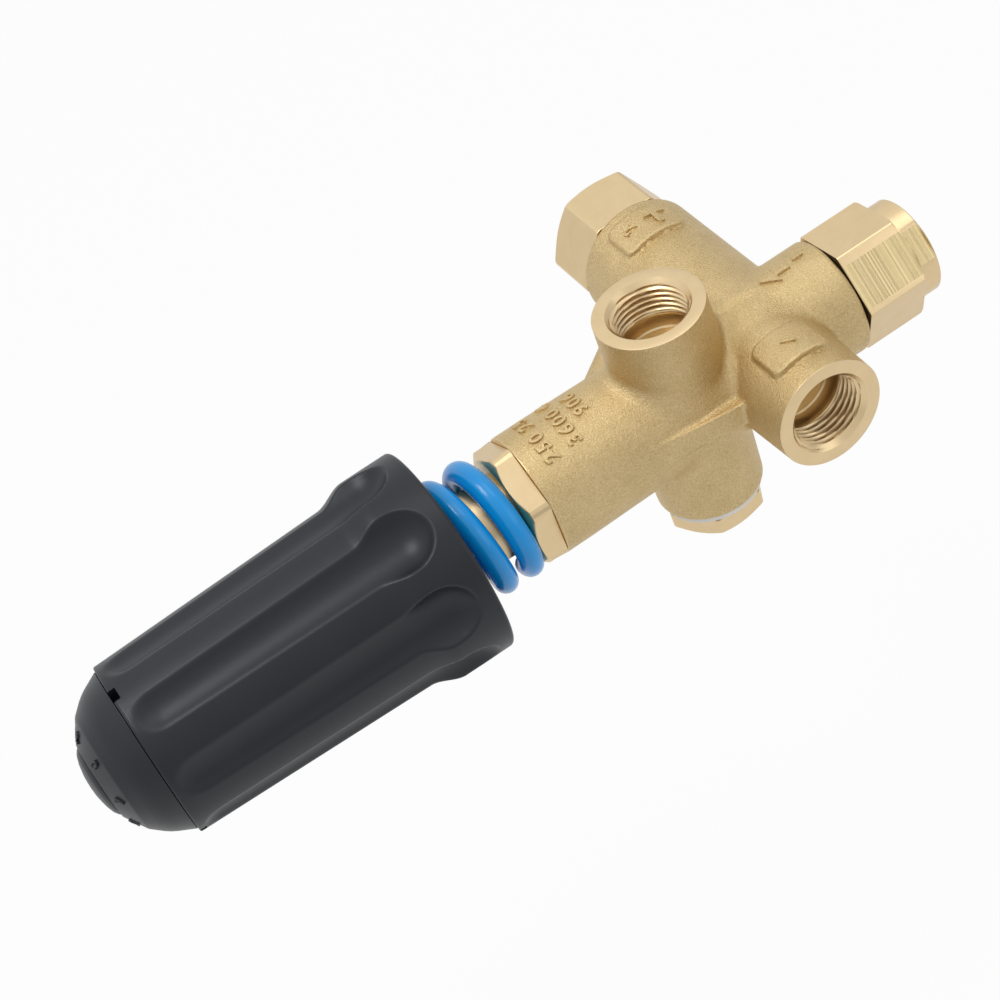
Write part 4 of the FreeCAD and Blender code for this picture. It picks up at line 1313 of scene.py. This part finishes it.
@dataclass
class Studio:
    """Camera, lamps, floor and world."""

    camera_mm: tuple[float, float, float] = (-117.3, -317.7, 306.8)
    right: tuple[float, float, float] = (0.8216, -0.4830, -0.3028)
    upward: tuple[float, float, float] = (0.5446, 0.5084, 0.6670)
    lens_mm: float = 82.08
    floor_z: float = -0.16
    bright_side: tuple[float, float, float] = (-0.25, 0.40, 0.88)
    lamps: tuple[Lamp, ...] = field(default_factory=lambda: (
        Lamp("key_lamp", (-0.38, 0.06, 0.85), (-0.08, 0, 0), 0.35, 2.2),
        Lamp("fill_lamp", (0.55, -0.65, 0.40), (-0.08, 0, 0), 0.60, 0.8),
        Lamp("top_lamp", (0.25, 0.05, 0.90), (-0.08, 0, 0), 0.50, 0.8)))

    def camera(self, shop: Workshop) -> None:
        """Sets the camera fitted to the photograph."""
        data = bpy.data.cameras.new("camera")
        data.lens = self.lens_mm
        data.sensor_width = 36.0
        data.sensor_fit = "HORIZONTAL"
        data.clip_start = 0.01
        thing = bpy.data.objects.new("camera", data)
        right, up = Vector(self.right), Vector(self.upward)
        back = right.cross(up).normalized()
        up = back.cross(right).normalized()
        turn = Matrix((right, up, back)).transposed().to_4x4()
        place = Vector(self.camera_mm) * MM + Vector(shop.crossing)
        thing.matrix_world = Matrix.Translation(place) @ turn
        bpy.context.scene.collection.objects.link(thing)
        bpy.context.scene.camera = thing

    def lights(self) -> None:
        """Adds the lamps, each turned to its target."""
        for lamp in self.lamps:
            data = bpy.data.lights.new(lamp.name, "AREA")
            data.size = lamp.size
            data.energy = lamp.power
            thing = bpy.data.objects.new(lamp.name, data)
            thing.location = lamp.place
            look = Vector(lamp.target) - Vector(lamp.place)
            thing.rotation_euler = look.to_track_quat("-Z", "Y").to_euler()
            bpy.context.scene.collection.objects.link(thing)

    def world(self) -> None:
        """White to the camera; a white that falls off sideways in metal."""
        world = bpy.data.worlds.new("studio")
        bpy.context.scene.world = world
        world.use_nodes = True
        world.node_tree.nodes.clear()
        wires = Wiring(world.node_tree)
        out = wires.add("ShaderNodeOutputWorld")
        light, seen, shown = (wires.add("ShaderNodeBackground")
                              for _ in range(3))
        for glow, strength in ((light, 0.60), (seen, 1.0)):
            glow.inputs["Strength"].default_value = strength
        for glow in (light, seen, shown):
            glow.inputs["Color"].default_value = (1, 1, 1, 1)
        place = wires.add("ShaderNodeTexCoord")
        lean = wires.add("ShaderNodeVectorMath", operation="DOT_PRODUCT")
        lean.inputs[1].default_value = self.bright_side
        wires.link(place.outputs["Generated"], lean.inputs[0])
        fall = wires.add("ShaderNodeMapRange", interpolation_type="SMOOTHSTEP")
        for socket, value in (("From Min", -0.55), ("From Max", 0.9),
                              ("To Min", 0.50), ("To Max", 0.94)):
            fall.inputs[socket].default_value = value
        wires.link(lean.outputs["Value"], fall.inputs["Value"])
        wires.link(fall.outputs["Result"], shown.inputs["Strength"])
        path = wires.add("ShaderNodeLightPath")
        mirrored = wires.add("ShaderNodeMath", operation="MAXIMUM")
        wires.link(path.outputs["Is Glossy Ray"], mirrored.inputs[0])
        wires.link(path.outputs["Is Transmission Ray"], mirrored.inputs[1])
        first = wires.add("ShaderNodeMixShader")
        wires.link(mirrored.outputs[0], first.inputs[0])
        wires.link(light.outputs[0], first.inputs[1])
        wires.link(shown.outputs[0], first.inputs[2])
        mix = wires.add("ShaderNodeMixShader")
        wires.link(path.outputs["Is Camera Ray"], mix.inputs[0])
        wires.link(first.outputs[0], mix.inputs[1])
        wires.link(seen.outputs[0], mix.inputs[2])
        wires.link(mix.outputs[0], out.inputs["Surface"])

    def floor(self) -> None:
        """White floor, mostly its own white to the camera, with a shadow."""
        mesh = bpy.data.meshes.new("floor")
        half = 3.0
        mesh.from_pydata([(-half, -half, self.floor_z),
                          (half, -half, self.floor_z),
                          (half, half, self.floor_z),
                          (-half, half, self.floor_z)], [], [(0, 1, 2, 3)])
        thing = bpy.data.objects.new("floor", mesh)
        bpy.context.scene.collection.objects.link(thing)
        material = bpy.data.materials.new("floor_white")
        material.use_nodes = True
        material.node_tree.nodes.clear()
        wires = Wiring(material.node_tree)
        out = wires.add("ShaderNodeOutputMaterial")
        paint = wires.add("ShaderNodeBsdfPrincipled")
        paint.inputs["Base Color"].default_value = (0.86, 0.86, 0.86, 1)
        paint.inputs["Roughness"].default_value = 0.9
        glow = wires.add("ShaderNodeEmission")
        glow.inputs["Strength"].default_value = 1.0
        path = wires.add("ShaderNodeLightPath")
        metal = wires.add("ShaderNodeMath", operation="MULTIPLY")
        metal.inputs[1].default_value = 0.45
        wires.link(path.outputs["Is Glossy Ray"], metal.inputs[0])
        clear = wires.add("ShaderNodeMath", operation="MAXIMUM")
        wires.link(metal.outputs[0], clear.inputs[0])
        wires.link(path.outputs["Is Transmission Ray"], clear.inputs[1])
        share = wires.add("ShaderNodeMath", operation="MULTIPLY_ADD")
        share.inputs[1].default_value = 0.93
        wires.link(path.outputs["Is Camera Ray"], share.inputs[0])
        wires.link(clear.outputs[0], share.inputs[2])
        mix = wires.add("ShaderNodeMixShader")
        wires.link(share.outputs[0], mix.inputs[0])
        wires.link(paint.outputs[0], mix.inputs[1])
        wires.link(glow.outputs[0], mix.inputs[2])
        wires.link(mix.outputs[0], out.inputs["Surface"])
        mesh.materials.append(material)

    def build(self, shop: Workshop) -> None:
        """Sets the whole studio."""
        self.camera(shop)
        self.lights()
        self.world()
        self.floor()
        bpy.context.scene.view_settings.view_transform = "Standard"


INNER_FINISH: dict[Spot, tuple[str, ...]] = {
    Spot.STEEL: ("stem", "bypass_seat", "poppet", "poppet_nut", "stop_nut",
                 "lock_nut", "spring_plate", "thrust_washer", "check_spring"),
    Spot.MACHINED: ("seal_retainer", "check_seat", "piston", "knob_insert"),
    Spot.RUBBER: ("gland_o_ring", "rod_seal", "seat_o_ring",
                  "inlet_fitting_o_ring", "outlet_fitting_o_ring",
                  "check_seat_o_ring", "piston_o_ring"),
    Spot.SEAL: ("rod_backup_ring", "piston_backup_ring", "check_poppet"),
}


def main() -> None:
    """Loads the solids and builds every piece."""
    logging.basicConfig(level=logging.INFO, format="%(message)s")
    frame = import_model()
    shop = Workshop(frame)
    grain, cutter = grain_group(), cutter_group()
    shop.finishes = {spot: finish.material(spot.value, grain, cutter)
                     for spot, finish in FINISHES.items()}
    for spot, nodes in INNER_FINISH.items():
        for node in nodes:
            shop.dress(node, spot)
    shop.squeeze(frame["nodes"]["check_spring"], "check_valve_slide", 1)
    for part in (ForgedBody(), GuideGland(), ScrewedFittings(), PlugSet(),
                 AdjustingSpring(), AdjustingKnob()):
        part.build(shop)
        LOG.info("%s done", type(part).__name__)
    Studio().build(shop)


if __name__ == "__main__":
    main()
